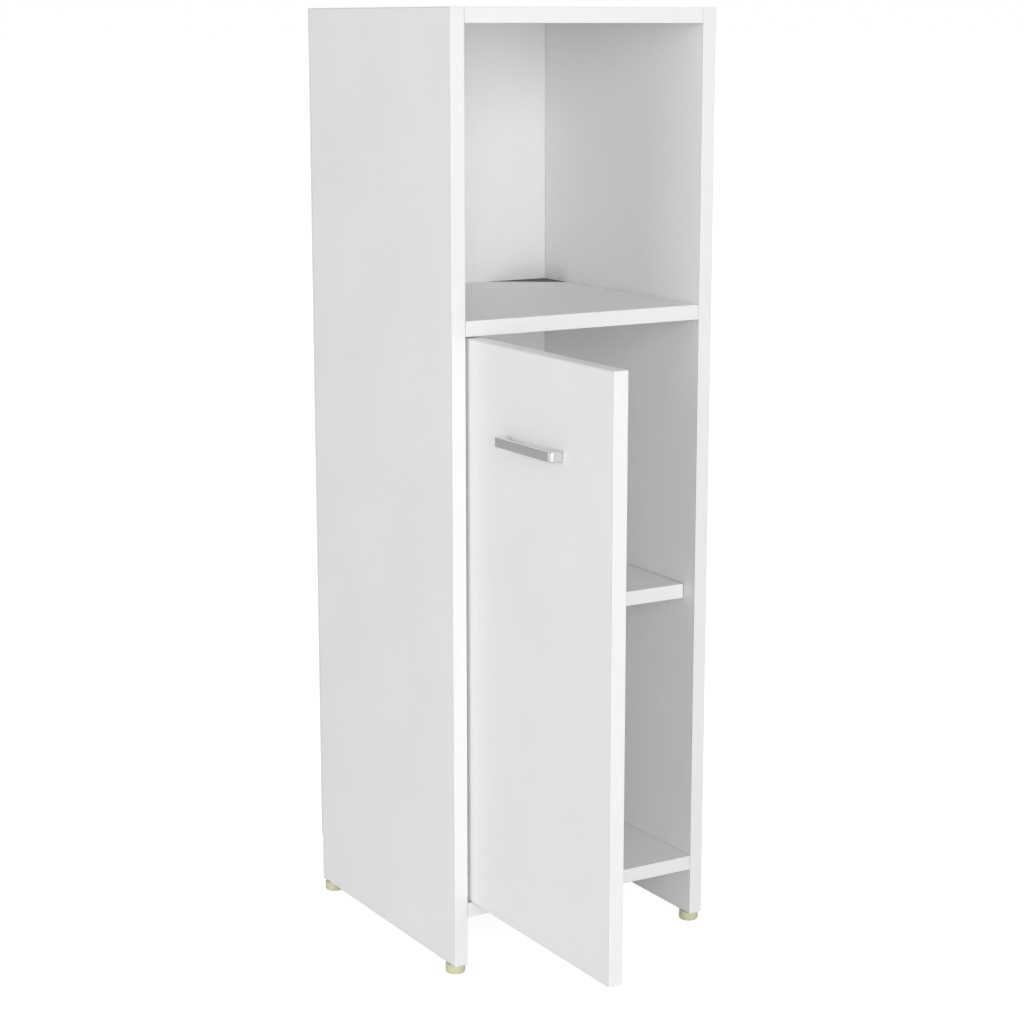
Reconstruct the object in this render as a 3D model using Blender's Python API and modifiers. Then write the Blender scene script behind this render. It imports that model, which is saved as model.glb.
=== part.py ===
"""Tall narrow bathroom cabinet: open compartment above, inset door below.

White coated boards stand on four push-in feet and are held by cam fittings
and dowels. A 3 mm back is fixed behind them. The door turns on two
single-pivot concealed hinges and is drawn standing open at a right angle.

Lengths are metres. Cabinet coordinates start at the front left edge on the
floor: X runs to the right, Y to the back, Z up. Door pieces are drawn where
they sit with the door shut, and an empty on the hinge axis turns them open.
"""

import math

import bmesh
import bpy
from mathutils import Matrix, Vector

# Overall size
WIDTH = 0.300
DEPTH = 0.300
HEIGHT = 0.950

# Boards
BOARD = 0.015
BACK_BOARD = 0.003
EDGE_ROUND = 0.0005
BACK_INSET = 0.0005
GAP = 0.0003  # between pieces that touch
CUT_PAST = 0.001  # how far a cutter runs past the face that it cuts

# Heights of the fixed boards' undersides above the floor
BOTTOM_RISE = 0.060
FIXED_SHELF_RISE = 0.643

# Corner cut off the fixed shelf, and the moulded cap that closes it
NOTCH_WIDTH = 0.074
NOTCH_DEPTH = 0.048
CAP_PLATE = 0.0025
CAP_WALL = 0.002

# Loose shelf on four pins
LOOSE_SHELF_RISE = 0.351
LOOSE_SHELF_SETBACK = 0.019
LOOSE_SHELF_PLAY = 0.001
SHELF_PIN_FRONT = 0.062
SHELF_PIN_BACK = 0.055
SHELF_PIN_RADIUS = 0.0025
SHELF_PIN_REACH = 0.007
SHELF_PIN_DEPTH = 0.008

# Feet
FOOT_HEIGHT = 0.010
FOOT_RADIUS = 0.010
FOOT_SETBACK = 0.0125  # from the board's end to the foot's middle
FOOT_EDGE_ROUND = 0.0022
FOOT_STEM_RADIUS = 0.0025
FOOT_STEM = 0.014

# Door
DOOR_SIDE_GAP = 0.0025
DOOR_END_GAP = 0.0015
DOOR_OPEN_AT_REST = math.radians(90.0)

DOOR_SWING_CLEARANCE = 0.000355  # between the door's front corner and the side
HINGE_FROM_DOOR_END = 0.090

# Hinge cup, and the board left beside and in front of its bore
CUP_RADIUS = 0.0175
CUP_EDGE_SKIN = 0.0022
CUP_FACE_SKIN = 0.0022
CUP_WALL = 0.0008
CUP_RIM = 0.0009
CUP_FLANGE = 0.001
CUP_EAR_INNER = 0.0055
CUP_EAR_OUTER = 0.0081
CUP_EAR_BEFORE_AXIS = 0.0017
CUP_EAR_PAST_AXIS = 0.0027
CUP_EAR_HEIGHT = 0.0050
WING_OFFSET = 0.0063
WING_SPREAD = 0.024
WING_HALF_WIDTH = 0.006
WING_SHEET = 0.0008
MOUTH_CLEARANCE = 0.0001

# Hinge pin and arm
HINGE_PIN_RADIUS = 0.0011
HINGE_PIN_HALF = 0.0074
KNUCKLE_WALL = 0.0007
ARM_SHEET = 0.0018
ARM_HALF_WIDTH = 0.005
ARM_CLEARANCE = 0.0016  # to the swinging door and cup
ARM_BEND = 0.0024
ARM_END = 0.074  # from the cabinet's front
SPRING_SHEET = 0.0005
SPRING_LENGTH = 0.019
SPRING_CLEARANCE = 0.0012
SPRING_HALF_WIDTH = 0.004

# Mounting plate on the left side
PLATE_SHEET = 0.0018
PLATE_FRONT = 0.052
PLATE_SCREW_SPREAD = 0.016
PLATE_HALF_WIDTH = 0.007
PLATE_TAIL_HALF_WIDTH = 0.0065
ARM_SCREW_FRONT = 0.066

# Wood screws of the hinges, and the screw through each arm
SCREW_RADIUS = 0.0015
SCREW_LENGTH = 0.0115
SCREW_POINT = 0.003
SCREW_HEAD_RADIUS = 0.0032
SCREW_HEAD = 0.0018
ARM_SCREW_RADIUS = 0.0019

# Handle on the door's face
HANDLE_LENGTH = 0.101
HANDLE_HEIGHT = 0.0095
HANDLE_REACH = 0.014
HANDLE_GRIP = 0.005
HANDLE_LEG = 0.012
HANDLE_CORNER = 0.005
HANDLE_INNER_CORNER = 0.003
HANDLE_EDGE_ROUND = 0.0012
HANDLE_BELOW_DOOR_TOP = 0.0875
HANDLE_SCREW_RADIUS = 0.002
HANDLE_SCREW_BITE = 0.007
HANDLE_SCREW_HEAD_RADIUS = 0.004
HANDLE_SCREW_HEAD = 0.0024

# Cam fittings and dowels between the fixed boards and the sides
CAM_FRONT = 0.045
CAM_BACK = 0.082  # from the boards' rear edge
CAM_RADIUS = 0.0075
CAM_SKIN = 0.0024  # board left above each cam
CAM_REACH = 0.024  # from the side to the cam's middle
CAM_BOLT_RADIUS = 0.003
CAM_BOLT_THREAD_RADIUS = 0.0025
CAM_BOLT_DEPTH = 0.0105
DOWEL_FRONT = 0.130
DOWEL_RADIUS = 0.004
DOWEL_IN_SIDE = 0.0105
DOWEL_IN_BOARD = 0.017

# Facets
ROUND_STEPS = 32
FOOT_STEPS = 24
CAM_STEPS = 16
HOLE_STEPS = 12
ARC_STEPS = 4
ROUND_END_STEPS = 6

# Worked out from the sizes above
SIDE_DEPTH = DEPTH - BACK_BOARD - GAP
BOARD_LEFT = BOARD + GAP
BOARD_RIGHT = WIDTH - BOARD - GAP
OPENING_BOTTOM = BOTTOM_RISE + BOARD
DOOR_LEFT = BOARD + DOOR_SIDE_GAP
DOOR_RIGHT = WIDTH - BOARD - DOOR_SIDE_GAP
DOOR_BOTTOM = OPENING_BOTTOM + DOOR_END_GAP
DOOR_TOP = FIXED_SHELF_RISE - DOOR_END_GAP
CUP_X = DOOR_LEFT + CUP_EDGE_SKIN + GAP + CUP_RADIUS
CUP_DEPTH = BOARD - CUP_FACE_SKIN - GAP
CUP_FLOOR = BOARD - CUP_DEPTH + CUP_WALL
FLANGE_BASE = BOARD + GAP
FLANGE_TOP = FLANGE_BASE + CUP_FLANGE
FLANGE_LEFT = CUP_X - CUP_RADIUS - CUP_RIM
KNUCKLE_RADIUS = HINGE_PIN_RADIUS + GAP + KNUCKLE_WALL
AXIS_Y = CUP_FLOOR + GAP + KNUCKLE_RADIUS
# The door's front corner passes the side at the swing clearance.
AXIS_INSET = (DOOR_SIDE_GAP**2 + AXIS_Y**2 - DOOR_SWING_CLEARANCE**2) / (
    2 * (DOOR_SIDE_GAP - DOOR_SWING_CLEARANCE)
)
AXIS_X = BOARD + AXIS_INSET
DOOR_FREE_END = AXIS_Y - (DOOR_RIGHT - AXIS_X)
# How far the flange's rim and the door's inner corner swing past the axis.
DOOR_SWING = max(
    math.hypot(AXIS_X - FLANGE_LEFT, FLANGE_TOP - AXIS_Y),
    math.hypot(AXIS_X - DOOR_LEFT, BOARD - AXIS_Y),
)
ARM_NECK_X = AXIS_X + FLANGE_TOP - AXIS_Y + ARM_CLEARANCE + ARM_SHEET / 2
ARM_CRANK_Y = AXIS_Y + DOOR_SWING + ARM_CLEARANCE + ARM_SHEET / 2
HINGE_HEIGHTS = {
    "upper": DOOR_TOP - HINGE_FROM_DOOR_END,
    "lower": DOOR_BOTTOM + HINGE_FROM_DOOR_END,
}
CAM_ROWS = {"front": CAM_FRONT, "back": SIDE_DEPTH - CAM_BACK}
FIXED_BOARDS = {
    "top": HEIGHT - BOARD,
    "shelf": FIXED_SHELF_RISE,
    "bottom": BOTTOM_RISE,
}
CAM_HEIGHT = BOARD - CAM_SKIN - 2 * GAP
PLATE_TOP = BOARD + GAP + PLATE_SHEET
ARM_BASE = PLATE_TOP + GAP
HANDLE_X = (DOOR_LEFT + DOOR_RIGHT) / 2
HANDLE_Z = DOOR_TOP - HANDLE_BELOW_DOOR_TOP
HANDLE_SCREW_SPREAD = (HANDLE_LENGTH - HANDLE_LEG) / 2
SHELF_PIN_ROWS = {"front": SHELF_PIN_FRONT, "back": SIDE_DEPTH - SHELF_PIN_BACK}
SHELF_PIN_Z = LOOSE_SHELF_RISE - GAP - SHELF_PIN_RADIUS
FOOT_ROWS = {"front": FOOT_SETBACK, "back": SIDE_DEPTH - FOOT_SETBACK}
SIDE_MIDDLES = {"left": BOARD / 2, "right": WIDTH - BOARD / 2}
# The cap's screw points from the cap's inside square into the cut edge.
CAP_SCREW_AXIS = Vector((NOTCH_DEPTH, NOTCH_WIDTH, 0.0)).normalized()
CUT_MIDDLE = Vector((BOARD_RIGHT - NOTCH_WIDTH / 2, SIDE_DEPTH - NOTCH_DEPTH / 2, 0.0))
CUT_MIDDLE.z = FIXED_SHELF_RISE + (BOARD - CAP_PLATE) / 2
CAP_SEAT = CUT_MIDDLE + CAP_SCREW_AXIS * (GAP + CAP_WALL)
CAP_SCREW_END = CAP_SEAT - CAP_SCREW_AXIS * SCREW_LENGTH


def clear_scene():
    """Remove the scene's objects."""
    for item in list(bpy.data.objects):
        bpy.data.objects.remove(item, do_unlink=True)


def new_collection(name):
    """A collection linked to the scene."""
    group = bpy.data.collections.new(name)
    bpy.context.scene.collection.children.link(group)
    return group


def new_material(name, colour, roughness, metallic=0.0):
    """A Principled BSDF with one colour."""
    finish = bpy.data.materials.new(name)
    finish.use_nodes = True
    shader = finish.node_tree.nodes["Principled BSDF"]
    shader.inputs["Base Color"].default_value = (*colour, 1.0)
    shader.inputs["Roughness"].default_value = roughness
    shader.inputs["Metallic"].default_value = metallic
    return finish


def new_empty(name, location, parent=None):
    """A plain-axes empty to parent pieces to."""
    empty = bpy.data.objects.new(name, None)
    empty.location = location
    empty.parent = parent
    PARTS.objects.link(empty)
    return empty


def as_piece(item, finish, door=False):
    """Name the piece's finish and put it on the cabinet or on the door."""
    item.data.materials.clear()
    item.data.materials.append(finish)
    item.parent = DOOR_AXIS if door else CABINET
    if door:
        item.location = (-AXIS_X, -AXIS_Y, 0.0)
    return item


def mesh_object(name, shape, group=None):
    """An object holding a bmesh, in the parts or in another collection."""
    mesh = bpy.data.meshes.new(name)
    shape.to_mesh(mesh)
    shape.free()
    item = bpy.data.objects.new(name, mesh)
    (group or PARTS).objects.link(item)
    return item


def shade_round(item, angle=math.radians(30.0)):
    """Smooth shading that keeps the sharp edges."""
    item.data.shade_smooth()
    item.data.set_sharp_from_angle(angle=angle)
    return item


def add_box(shape, low, high):
    """Add a box to a bmesh, from its lowest to its highest corner."""
    made = bmesh.ops.create_cube(shape, size=1.0)["verts"]
    size = Vector(high) - Vector(low)
    middle = (Vector(high) + Vector(low)) / 2
    bmesh.ops.scale(shape, vec=size, verts=made)
    bmesh.ops.translate(shape, vec=middle, verts=made)


def add_rod(shape, start, end, radius, steps=HOLE_STEPS):
    """Add a closed cylinder to a bmesh, from one end's middle to the other's."""
    start, end = Vector(start), Vector(end)
    along = end - start
    turn = Vector((0.0, 0.0, 1.0)).rotation_difference(along).to_matrix().to_4x4()
    bmesh.ops.create_cone(
        shape,
        cap_ends=True,
        segments=steps,
        radius1=radius,
        radius2=radius,
        depth=along.length,
        matrix=Matrix.Translation((start + end) / 2) @ turn,
    )


def box(name, low, high):
    """A plain box."""
    shape = bmesh.new()
    add_box(shape, low, high)
    return mesh_object(name, shape)


def board(name, low, high):
    """A board with its edges slightly rounded."""
    item = box(name, low, high)
    rounding = item.modifiers.new("edges", "BEVEL")
    rounding.width = EDGE_ROUND
    rounding.segments = 2
    return item


def cutter(name, shape, door=False):
    """A bmesh that only cuts or joins: drawn as wire and never rendered."""
    item = mesh_object(name, shape, CUTTERS)
    item.hide_render = True
    item.display_type = "WIRE"
    item.parent = DOOR_AXIS if door else CABINET
    if door:
        item.location = (-AXIS_X, -AXIS_Y, 0.0)
    return item


def combine(item, other, operation):
    """Cut another object out of this one, or join it on."""
    step = item.modifiers.new(other.name, "BOOLEAN")
    step.object = other
    step.operation = operation
    step.solver = "EXACT"


def weld(item):
    """Merge the nearly equal corners that a chain of cuts can leave."""
    merging = item.modifiers.new("weld", "WELD")
    merging.merge_threshold = 0.000001


def turned(name, profile, steps, centre, axis):
    """A profile of (radius, height) points, turned about an axis through a centre."""
    shape = bmesh.new()
    points = [shape.verts.new((radius, 0.0, height)) for radius, height in profile]
    for first, second in zip(points, points[1:]):
        shape.edges.new((first, second))
    item = mesh_object(name, shape)
    screw = item.modifiers.new("turning", "SCREW")
    screw.steps = steps
    screw.render_steps = steps
    screw.use_merge_vertices = True
    screw.merge_threshold = 0.00001
    solid = as_mesh(item)
    turn = Vector((0.0, 0.0, 1.0)).rotation_difference(Vector(axis)).to_matrix()
    solid.data.transform(Matrix.Translation(centre) @ turn.to_4x4())
    return shade_round(solid)


def as_mesh(item):
    """Replace a curve, or an object with modifiers, by its evaluated mesh."""
    name = item.name
    item.name = name + "_source"
    view = bpy.context.evaluated_depsgraph_get()
    mesh = bpy.data.meshes.new_from_object(item.evaluated_get(view))
    mesh.name = name
    shape = bmesh.new()
    shape.from_mesh(mesh)
    bmesh.ops.remove_doubles(shape, verts=shape.verts, dist=0.000001)
    shape.to_mesh(mesh)
    shape.free()
    solid = bpy.data.objects.new(name, mesh)
    solid.matrix_world = item.matrix_world
    PARTS.objects.link(solid)
    bpy.data.objects.remove(item, do_unlink=True)
    return solid


def flat_piece(name, outline, thickness):
    """A flat outline in XY, extruded evenly up and down."""
    curve = bpy.data.curves.new(name, "CURVE")
    curve.dimensions = "2D"
    curve.fill_mode = "BOTH"
    curve.extrude = thickness / 2
    line = curve.splines.new("POLY")
    line.points.add(len(outline) - 1)
    for point, (x, y) in zip(line.points, outline):
        point.co = (x, y, 0.0, 1.0)
    line.use_cyclic_u = True
    item = bpy.data.objects.new(name, curve)
    PARTS.objects.link(item)
    return as_mesh(item)


def arc(centre, radius, start, end, steps=ARC_STEPS):
    """Points along an arc, with its angles in degrees."""
    points = []
    for step in range(steps + 1):
        angle = math.radians(start + (end - start) * step / steps)
        offset = (radius * math.cos(angle), radius * math.sin(angle))
        points.append((centre[0] + offset[0], centre[1] + offset[1]))
    return points


def rounded_path(corners, radius):
    """A path through corners, each turned into an arc of the given radius."""
    path = [Vector(corners[0])]
    for before, corner, after in zip(corners, corners[1:], corners[2:]):
        corner = Vector(corner)
        back = (Vector(before) - corner).normalized()
        ahead = (Vector(after) - corner).normalized()
        half = back.angle(ahead) / 2
        middle = corner + (back + ahead).normalized() * radius / math.sin(half)
        first = corner + back * radius / math.tan(half) - middle
        last = corner + ahead * radius / math.tan(half) - middle
        sweep = first.angle_signed(last)
        for step in range(ARC_STEPS + 1):
            turn = Matrix.Rotation(-sweep * step / ARC_STEPS, 2)
            path.append(middle + turn @ first)
    path.append(Vector(corners[-1]))
    return path


def strip_outline(path, thickness):
    """The outline of a strip of even thickness that follows a path."""
    left, right = [], []
    for index, point in enumerate(path):
        before = path[max(index - 1, 0)]
        after = path[min(index + 1, len(path) - 1)]
        along = (after - before).normalized()
        side = Vector((-along.y, along.x)) * thickness / 2
        left.append(tuple(point + side))
        right.append(tuple(point - side))
    return right + left[::-1]


def prism(outline, low, high):
    """A bmesh raised from an outline in XY between two heights."""
    shape = bmesh.new()
    face = shape.faces.new([shape.verts.new((x, y, low)) for x, y in outline])
    raised = bmesh.ops.extrude_face_region(shape, geom=[face])["geom"]
    top = [piece for piece in raised if isinstance(piece, bmesh.types.BMVert)]
    bmesh.ops.translate(shape, vec=(0.0, 0.0, high - low), verts=top)
    bmesh.ops.recalc_face_normals(shape, faces=shape.faces)
    return shape


def side_holes(shape, side):
    """Holes in a side's inner face and lower end."""
    face = BOARD if side == "left" else WIDTH - BOARD
    inward = -1.0 if side == "left" else 1.0

    def hole(y, z, radius, depth):
        outside = face - inward * CUT_PAST
        inside = face + inward * (depth + GAP)
        add_rod(shape, (outside, y, z), (inside, y, z), radius + GAP)

    for rise in FIXED_BOARDS.values():
        for y in CAM_ROWS.values():
            hole(y, rise + BOARD / 2, CAM_BOLT_THREAD_RADIUS, CAM_BOLT_DEPTH)
        hole(DOWEL_FRONT, rise + BOARD / 2, DOWEL_RADIUS, DOWEL_IN_SIDE)
    for y in SHELF_PIN_ROWS.values():
        hole(y, SHELF_PIN_Z, SHELF_PIN_RADIUS, SHELF_PIN_DEPTH)
    if side == "left":
        for height in HINGE_HEIGHTS.values():
            for offset in (-PLATE_SCREW_SPREAD, PLATE_SCREW_SPREAD):
                depth = SCREW_LENGTH - PLATE_SHEET
                hole(PLATE_FRONT, height + offset, SCREW_RADIUS, depth)
    for y in FOOT_ROWS.values():
        low = (SIDE_MIDDLES[side], y, FOOT_HEIGHT - CUT_PAST)
        high = (SIDE_MIDDLES[side], y, FOOT_HEIGHT + FOOT_STEM + GAP)
        add_rod(shape, low, high, FOOT_STEM_RADIUS + GAP)


def build_sides():
    """The two uprights."""
    for side, middle in SIDE_MIDDLES.items():
        low = (middle - BOARD / 2, 0.0, FOOT_HEIGHT)
        high = (middle + BOARD / 2, SIDE_DEPTH, HEIGHT)
        panel = board(f"{side}_side_panel", low, high)
        holes = bmesh.new()
        side_holes(holes, side)
        combine(panel, cutter(f"{side}_side_holes", holes), "DIFFERENCE")
        as_piece(panel, COATED_BOARD)


def notch_cutter():
    """A prism that takes the rear right corner off the fixed shelf."""
    outline = (
        (BOARD_RIGHT - NOTCH_WIDTH, SIDE_DEPTH),
        (BOARD_RIGHT, SIDE_DEPTH - NOTCH_DEPTH),
        (BOARD_RIGHT + NOTCH_WIDTH, SIDE_DEPTH - NOTCH_DEPTH),
        (BOARD_RIGHT + NOTCH_WIDTH, SIDE_DEPTH + NOTCH_DEPTH),
        (BOARD_RIGHT - NOTCH_WIDTH, SIDE_DEPTH + NOTCH_DEPTH),
    )
    low = FIXED_SHELF_RISE - BOARD
    return cutter("shelf_notch", prism(outline, low, FIXED_SHELF_RISE + 2 * BOARD))


def cap_corners(inset):
    """The cap's outline, set in from the corner's two faces and from the cut."""
    slope = math.hypot(NOTCH_WIDTH, NOTCH_DEPTH)
    right, back = BOARD_RIGHT - inset, SIDE_DEPTH - inset
    from_cut = inset + GAP
    lean = NOTCH_DEPTH / NOTCH_WIDTH
    width = NOTCH_WIDTH - inset - inset / lean - from_cut * slope / NOTCH_DEPTH
    return ((right - width, back), (right, back - width * lean), (right, back))


def corner_cap():
    """A cap open below, flush with the fixed shelf, and its screw into the cut."""
    low, high = FIXED_SHELF_RISE, FIXED_SHELF_RISE + BOARD
    block = prism(cap_corners(0.0), low, high)
    cap = mesh_object("shelf_corner_cap", block)
    hollow = prism(cap_corners(CAP_WALL), low - CUT_PAST, high - CAP_PLATE)
    combine(cap, cutter("cap_hollow", hollow), "DIFFERENCE")
    hole = bmesh.new()
    add_rod(hole, CAP_SEAT + CAP_SCREW_AXIS * CUT_PAST, CAP_SCREW_END, SCREW_RADIUS + GAP)
    combine(cap, cutter("cap_hole", hole), "DIFFERENCE")
    as_piece(cap, CAP_PLASTIC)
    place = CAP_SEAT + CAP_SCREW_AXIS * GAP
    profile = wood_screw_profile()
    screw = turned("cap_screw", profile, HOLE_STEPS, place, CAP_SCREW_AXIS)
    as_piece(screw, ZINC)


def board_holes(name, rise):
    """Cam bores in a fixed board's underside, then the bores in its two ends."""
    cams, ends = bmesh.new(), bmesh.new()
    middle = rise + BOARD / 2
    for side in (-1.0, 1.0):
        edge = WIDTH / 2 + side * (WIDTH / 2 - BOARD)
        cam_x = edge - side * CAM_REACH
        for y in CAM_ROWS.values():
            top = rise + CAM_HEIGHT + 2 * GAP
            low = rise - CUT_PAST
            add_rod(cams, (cam_x, y, low), (cam_x, y, top), CAM_RADIUS + GAP, CAM_STEPS)
            add_rod(ends, (edge, y, middle), (cam_x, y, middle), CAM_BOLT_RADIUS + GAP)
        deep = edge - side * (DOWEL_IN_BOARD + 2 * GAP)
        dowel = ((edge, DOWEL_FRONT, middle), (deep, DOWEL_FRONT, middle))
        add_rod(ends, *dowel, DOWEL_RADIUS + GAP)
    return cutter(f"{name}_cam_bores", cams), cutter(f"{name}_end_bores", ends)


def build_fixed_boards():
    """Top, fixed shelf and bottom, between the sides."""
    names = {"top": "top_panel", "shelf": "fixed_shelf", "bottom": "bottom_panel"}
    for key, rise in FIXED_BOARDS.items():
        low = (BOARD_LEFT, 0.0, rise)
        high = (BOARD_RIGHT, SIDE_DEPTH, rise + BOARD)
        panel = board(names[key], low, high)
        if key == "shelf":
            combine(panel, notch_cutter(), "DIFFERENCE")
            bore = bmesh.new()
            add_rod(bore, CAP_SEAT, CAP_SCREW_END, SCREW_RADIUS + GAP)
            combine(panel, cutter("cap_screw_bore", bore), "DIFFERENCE")
        for holes in board_holes(key, rise):
            combine(panel, holes, "DIFFERENCE")
        as_piece(panel, COATED_BOARD)


def build_loose_shelf():
    """The shelf behind the door, and the pins that it lies on."""
    low = (BOARD + LOOSE_SHELF_PLAY, LOOSE_SHELF_SETBACK, LOOSE_SHELF_RISE)
    high_y = SIDE_DEPTH - LOOSE_SHELF_PLAY
    high = (WIDTH - BOARD - LOOSE_SHELF_PLAY, high_y, LOOSE_SHELF_RISE + BOARD)
    as_piece(board("loose_shelf", low, high), COATED_BOARD)
    profile = (
        (0.0, SHELF_PIN_REACH),
        (SHELF_PIN_RADIUS, SHELF_PIN_REACH),
        (SHELF_PIN_RADIUS, 0.0),
        (SHELF_PIN_RADIUS, -SHELF_PIN_DEPTH),
        (0.0, -SHELF_PIN_DEPTH),
    )
    for side, face, inward in (("left", BOARD, 1.0), ("right", WIDTH - BOARD, -1.0)):
        for row, y in SHELF_PIN_ROWS.items():
            place = (face, y, SHELF_PIN_Z)
            pin = turned(f"shelf_pin_{side}_{row}", profile, HOLE_STEPS, place, (inward, 0, 0))
            as_piece(pin, ZINC)


def build_back():
    """The thin back, from the bottom panel's underside to the top."""
    low = (BACK_INSET, SIDE_DEPTH + GAP, BOTTOM_RISE)
    high = (WIDTH - BACK_INSET, DEPTH, HEIGHT - BACK_INSET)
    as_piece(box("back_panel", low, high), HARDBOARD)


def build_feet():
    """Moulded feet with a stem pushed up into each side's lower end."""
    top = FOOT_HEIGHT - GAP
    profile = [
        (0.0, FOOT_HEIGHT + FOOT_STEM),
        (FOOT_STEM_RADIUS, FOOT_HEIGHT + FOOT_STEM),
        (FOOT_STEM_RADIUS, top),
        (FOOT_RADIUS, top),
    ]
    round_middle = (FOOT_RADIUS - FOOT_EDGE_ROUND, FOOT_EDGE_ROUND)
    profile += arc(round_middle, FOOT_EDGE_ROUND, 0.0, -90.0, 3)
    profile.append((0.0, 0.0))
    for side, x in SIDE_MIDDLES.items():
        for row, y in FOOT_ROWS.items():
            name = f"foot_{side}_{row}"
            foot = turned(name, profile, FOOT_STEPS, (x, y, 0.0), (0, 0, 1))
            as_piece(foot, FOOT_PLASTIC)


def build_cam_fittings():
    """Cams in the fixed boards' undersides, each drawn with its bolt."""
    for key, rise in FIXED_BOARDS.items():
        middle = rise + BOARD / 2
        for side, sign in (("left", -1.0), ("right", 1.0)):
            edge = WIDTH / 2 + sign * (WIDTH / 2 - BOARD)
            cam_x = edge - sign * CAM_REACH
            for row, y in CAM_ROWS.items():
                name = f"cam_{key}_{side}_{row}"
                drum, shank, thread = bmesh.new(), bmesh.new(), bmesh.new()
                low = (cam_x, y, rise + GAP)
                add_rod(drum, low, (cam_x, y, rise + CAM_HEIGHT + GAP), CAM_RADIUS, CAM_STEPS)
                cam = mesh_object(name, drum)
                neck = edge - sign * GAP
                add_rod(shank, (neck, y, middle), (cam_x, y, middle), CAM_BOLT_RADIUS)
                tip = edge + sign * CAM_BOLT_DEPTH
                inner = edge - sign * 2 * CAM_BOLT_RADIUS
                ends = ((inner, y, middle), (tip, y, middle))
                add_rod(thread, *ends, CAM_BOLT_THREAD_RADIUS)
                combine(cam, cutter(name + "_shank", shank), "UNION")
                combine(cam, cutter(name + "_thread", thread), "UNION")
                as_piece(cam, ZINC)


def build_dowels():
    """One wooden dowel in each end of each fixed board."""
    for key, rise in FIXED_BOARDS.items():
        middle = rise + BOARD / 2
        for side, sign in (("left", -1.0), ("right", 1.0)):
            edge = WIDTH / 2 + sign * (WIDTH / 2 - BOARD)
            shape = bmesh.new()
            outer = (edge + sign * DOWEL_IN_SIDE, DOWEL_FRONT, middle)
            inner = (edge - sign * DOWEL_IN_BOARD, DOWEL_FRONT, middle)
            add_rod(shape, outer, inner, DOWEL_RADIUS)
            dowel = mesh_object(f"dowel_{key}_{side}", shape)
            as_piece(shade_round(dowel), DOWEL_WOOD)


def build_door():
    """The door board with its bores for cups, screws and handle."""
    panel = board("door_panel", (DOOR_LEFT, 0.0, DOOR_BOTTOM), (DOOR_RIGHT, BOARD, DOOR_TOP))
    holes = bmesh.new()
    above = BOARD + CUT_PAST
    for height in HINGE_HEIGHTS.values():
        floor = BOARD - CUP_DEPTH - GAP
        ends = ((CUP_X, above, height), (CUP_X, floor, height))
        add_rod(holes, *ends, CUP_RADIUS + GAP, ROUND_STEPS)
        x = CUP_X + WING_OFFSET
        deep = FLANGE_TOP + GAP - SCREW_LENGTH - GAP
        for offset in (-WING_SPREAD, WING_SPREAD):
            ends = ((x, above, height + offset), (x, deep, height + offset))
            add_rod(holes, *ends, SCREW_RADIUS + GAP)
    for offset in (-HANDLE_SCREW_SPREAD, HANDLE_SCREW_SPREAD):
        x = HANDLE_X + offset
        ends = ((x, -CUT_PAST, HANDLE_Z), (x, above, HANDLE_Z))
        add_rod(holes, *ends, HANDLE_SCREW_RADIUS + GAP)
    combine(panel, cutter("door_holes", holes, door=True), "DIFFERENCE")
    as_piece(panel, COATED_BOARD, door=True)


def handle_outline():
    """The handle seen from above: a grip on two legs that end at the door."""
    half = HANDLE_LENGTH / 2
    outer = half - HANDLE_CORNER
    inner = half - HANDLE_LEG - HANDLE_INNER_CORNER
    face = -GAP
    front = face - HANDLE_REACH + HANDLE_CORNER
    throat = face - HANDLE_REACH + HANDLE_GRIP + HANDLE_INNER_CORNER
    points = [(-half, face)]
    points += arc((-outer, front), HANDLE_CORNER, 180.0, 270.0)
    points += arc((outer, front), HANDLE_CORNER, 270.0, 360.0)
    points += [(half, face), (half - HANDLE_LEG, face)]
    points += arc((inner, throat), HANDLE_INNER_CORNER, 0.0, -90.0)
    points += arc((-inner, throat), HANDLE_INNER_CORNER, -90.0, -180.0)
    points.append((-half + HANDLE_LEG, face))
    return [(HANDLE_X + x, y) for x, y in points]


def build_handle():
    """The handle and the two screws that hold it from behind."""
    handle = flat_piece("door_handle", handle_outline(), HANDLE_HEIGHT)
    handle.data.transform(Matrix.Translation((0.0, 0.0, HANDLE_Z)))
    rounding = handle.modifiers.new("edges", "BEVEL")
    rounding.width = HANDLE_EDGE_ROUND
    rounding.segments = 2
    rounding.angle_limit = math.radians(40.0)
    taps = bmesh.new()
    tip = -GAP - HANDLE_SCREW_BITE
    seat = BOARD + GAP
    profile = (
        (0.0, HANDLE_SCREW_HEAD),
        (0.6 * HANDLE_SCREW_HEAD_RADIUS, HANDLE_SCREW_HEAD),
        (HANDLE_SCREW_HEAD_RADIUS, HANDLE_SCREW_HEAD / 2),
        (HANDLE_SCREW_HEAD_RADIUS, 0.0),
        (HANDLE_SCREW_RADIUS, 0.0),
        (HANDLE_SCREW_RADIUS, tip - seat),
        (0.0, tip - seat),
    )
    for number, offset in enumerate((-HANDLE_SCREW_SPREAD, HANDLE_SCREW_SPREAD), 1):
        x = HANDLE_X + offset
        ends = ((x, CUT_PAST, HANDLE_Z), (x, tip - GAP, HANDLE_Z))
        add_rod(taps, *ends, HANDLE_SCREW_RADIUS + GAP)
        place = (x, seat, HANDLE_Z)
        screw = turned(f"handle_screw_{number}", profile, HOLE_STEPS, place, (0, 1, 0))
        as_piece(screw, ZINC, door=True)
    combine(handle, cutter("handle_taps", taps, door=True), "DIFFERENCE")
    as_piece(handle, CHROME, door=True)


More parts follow.
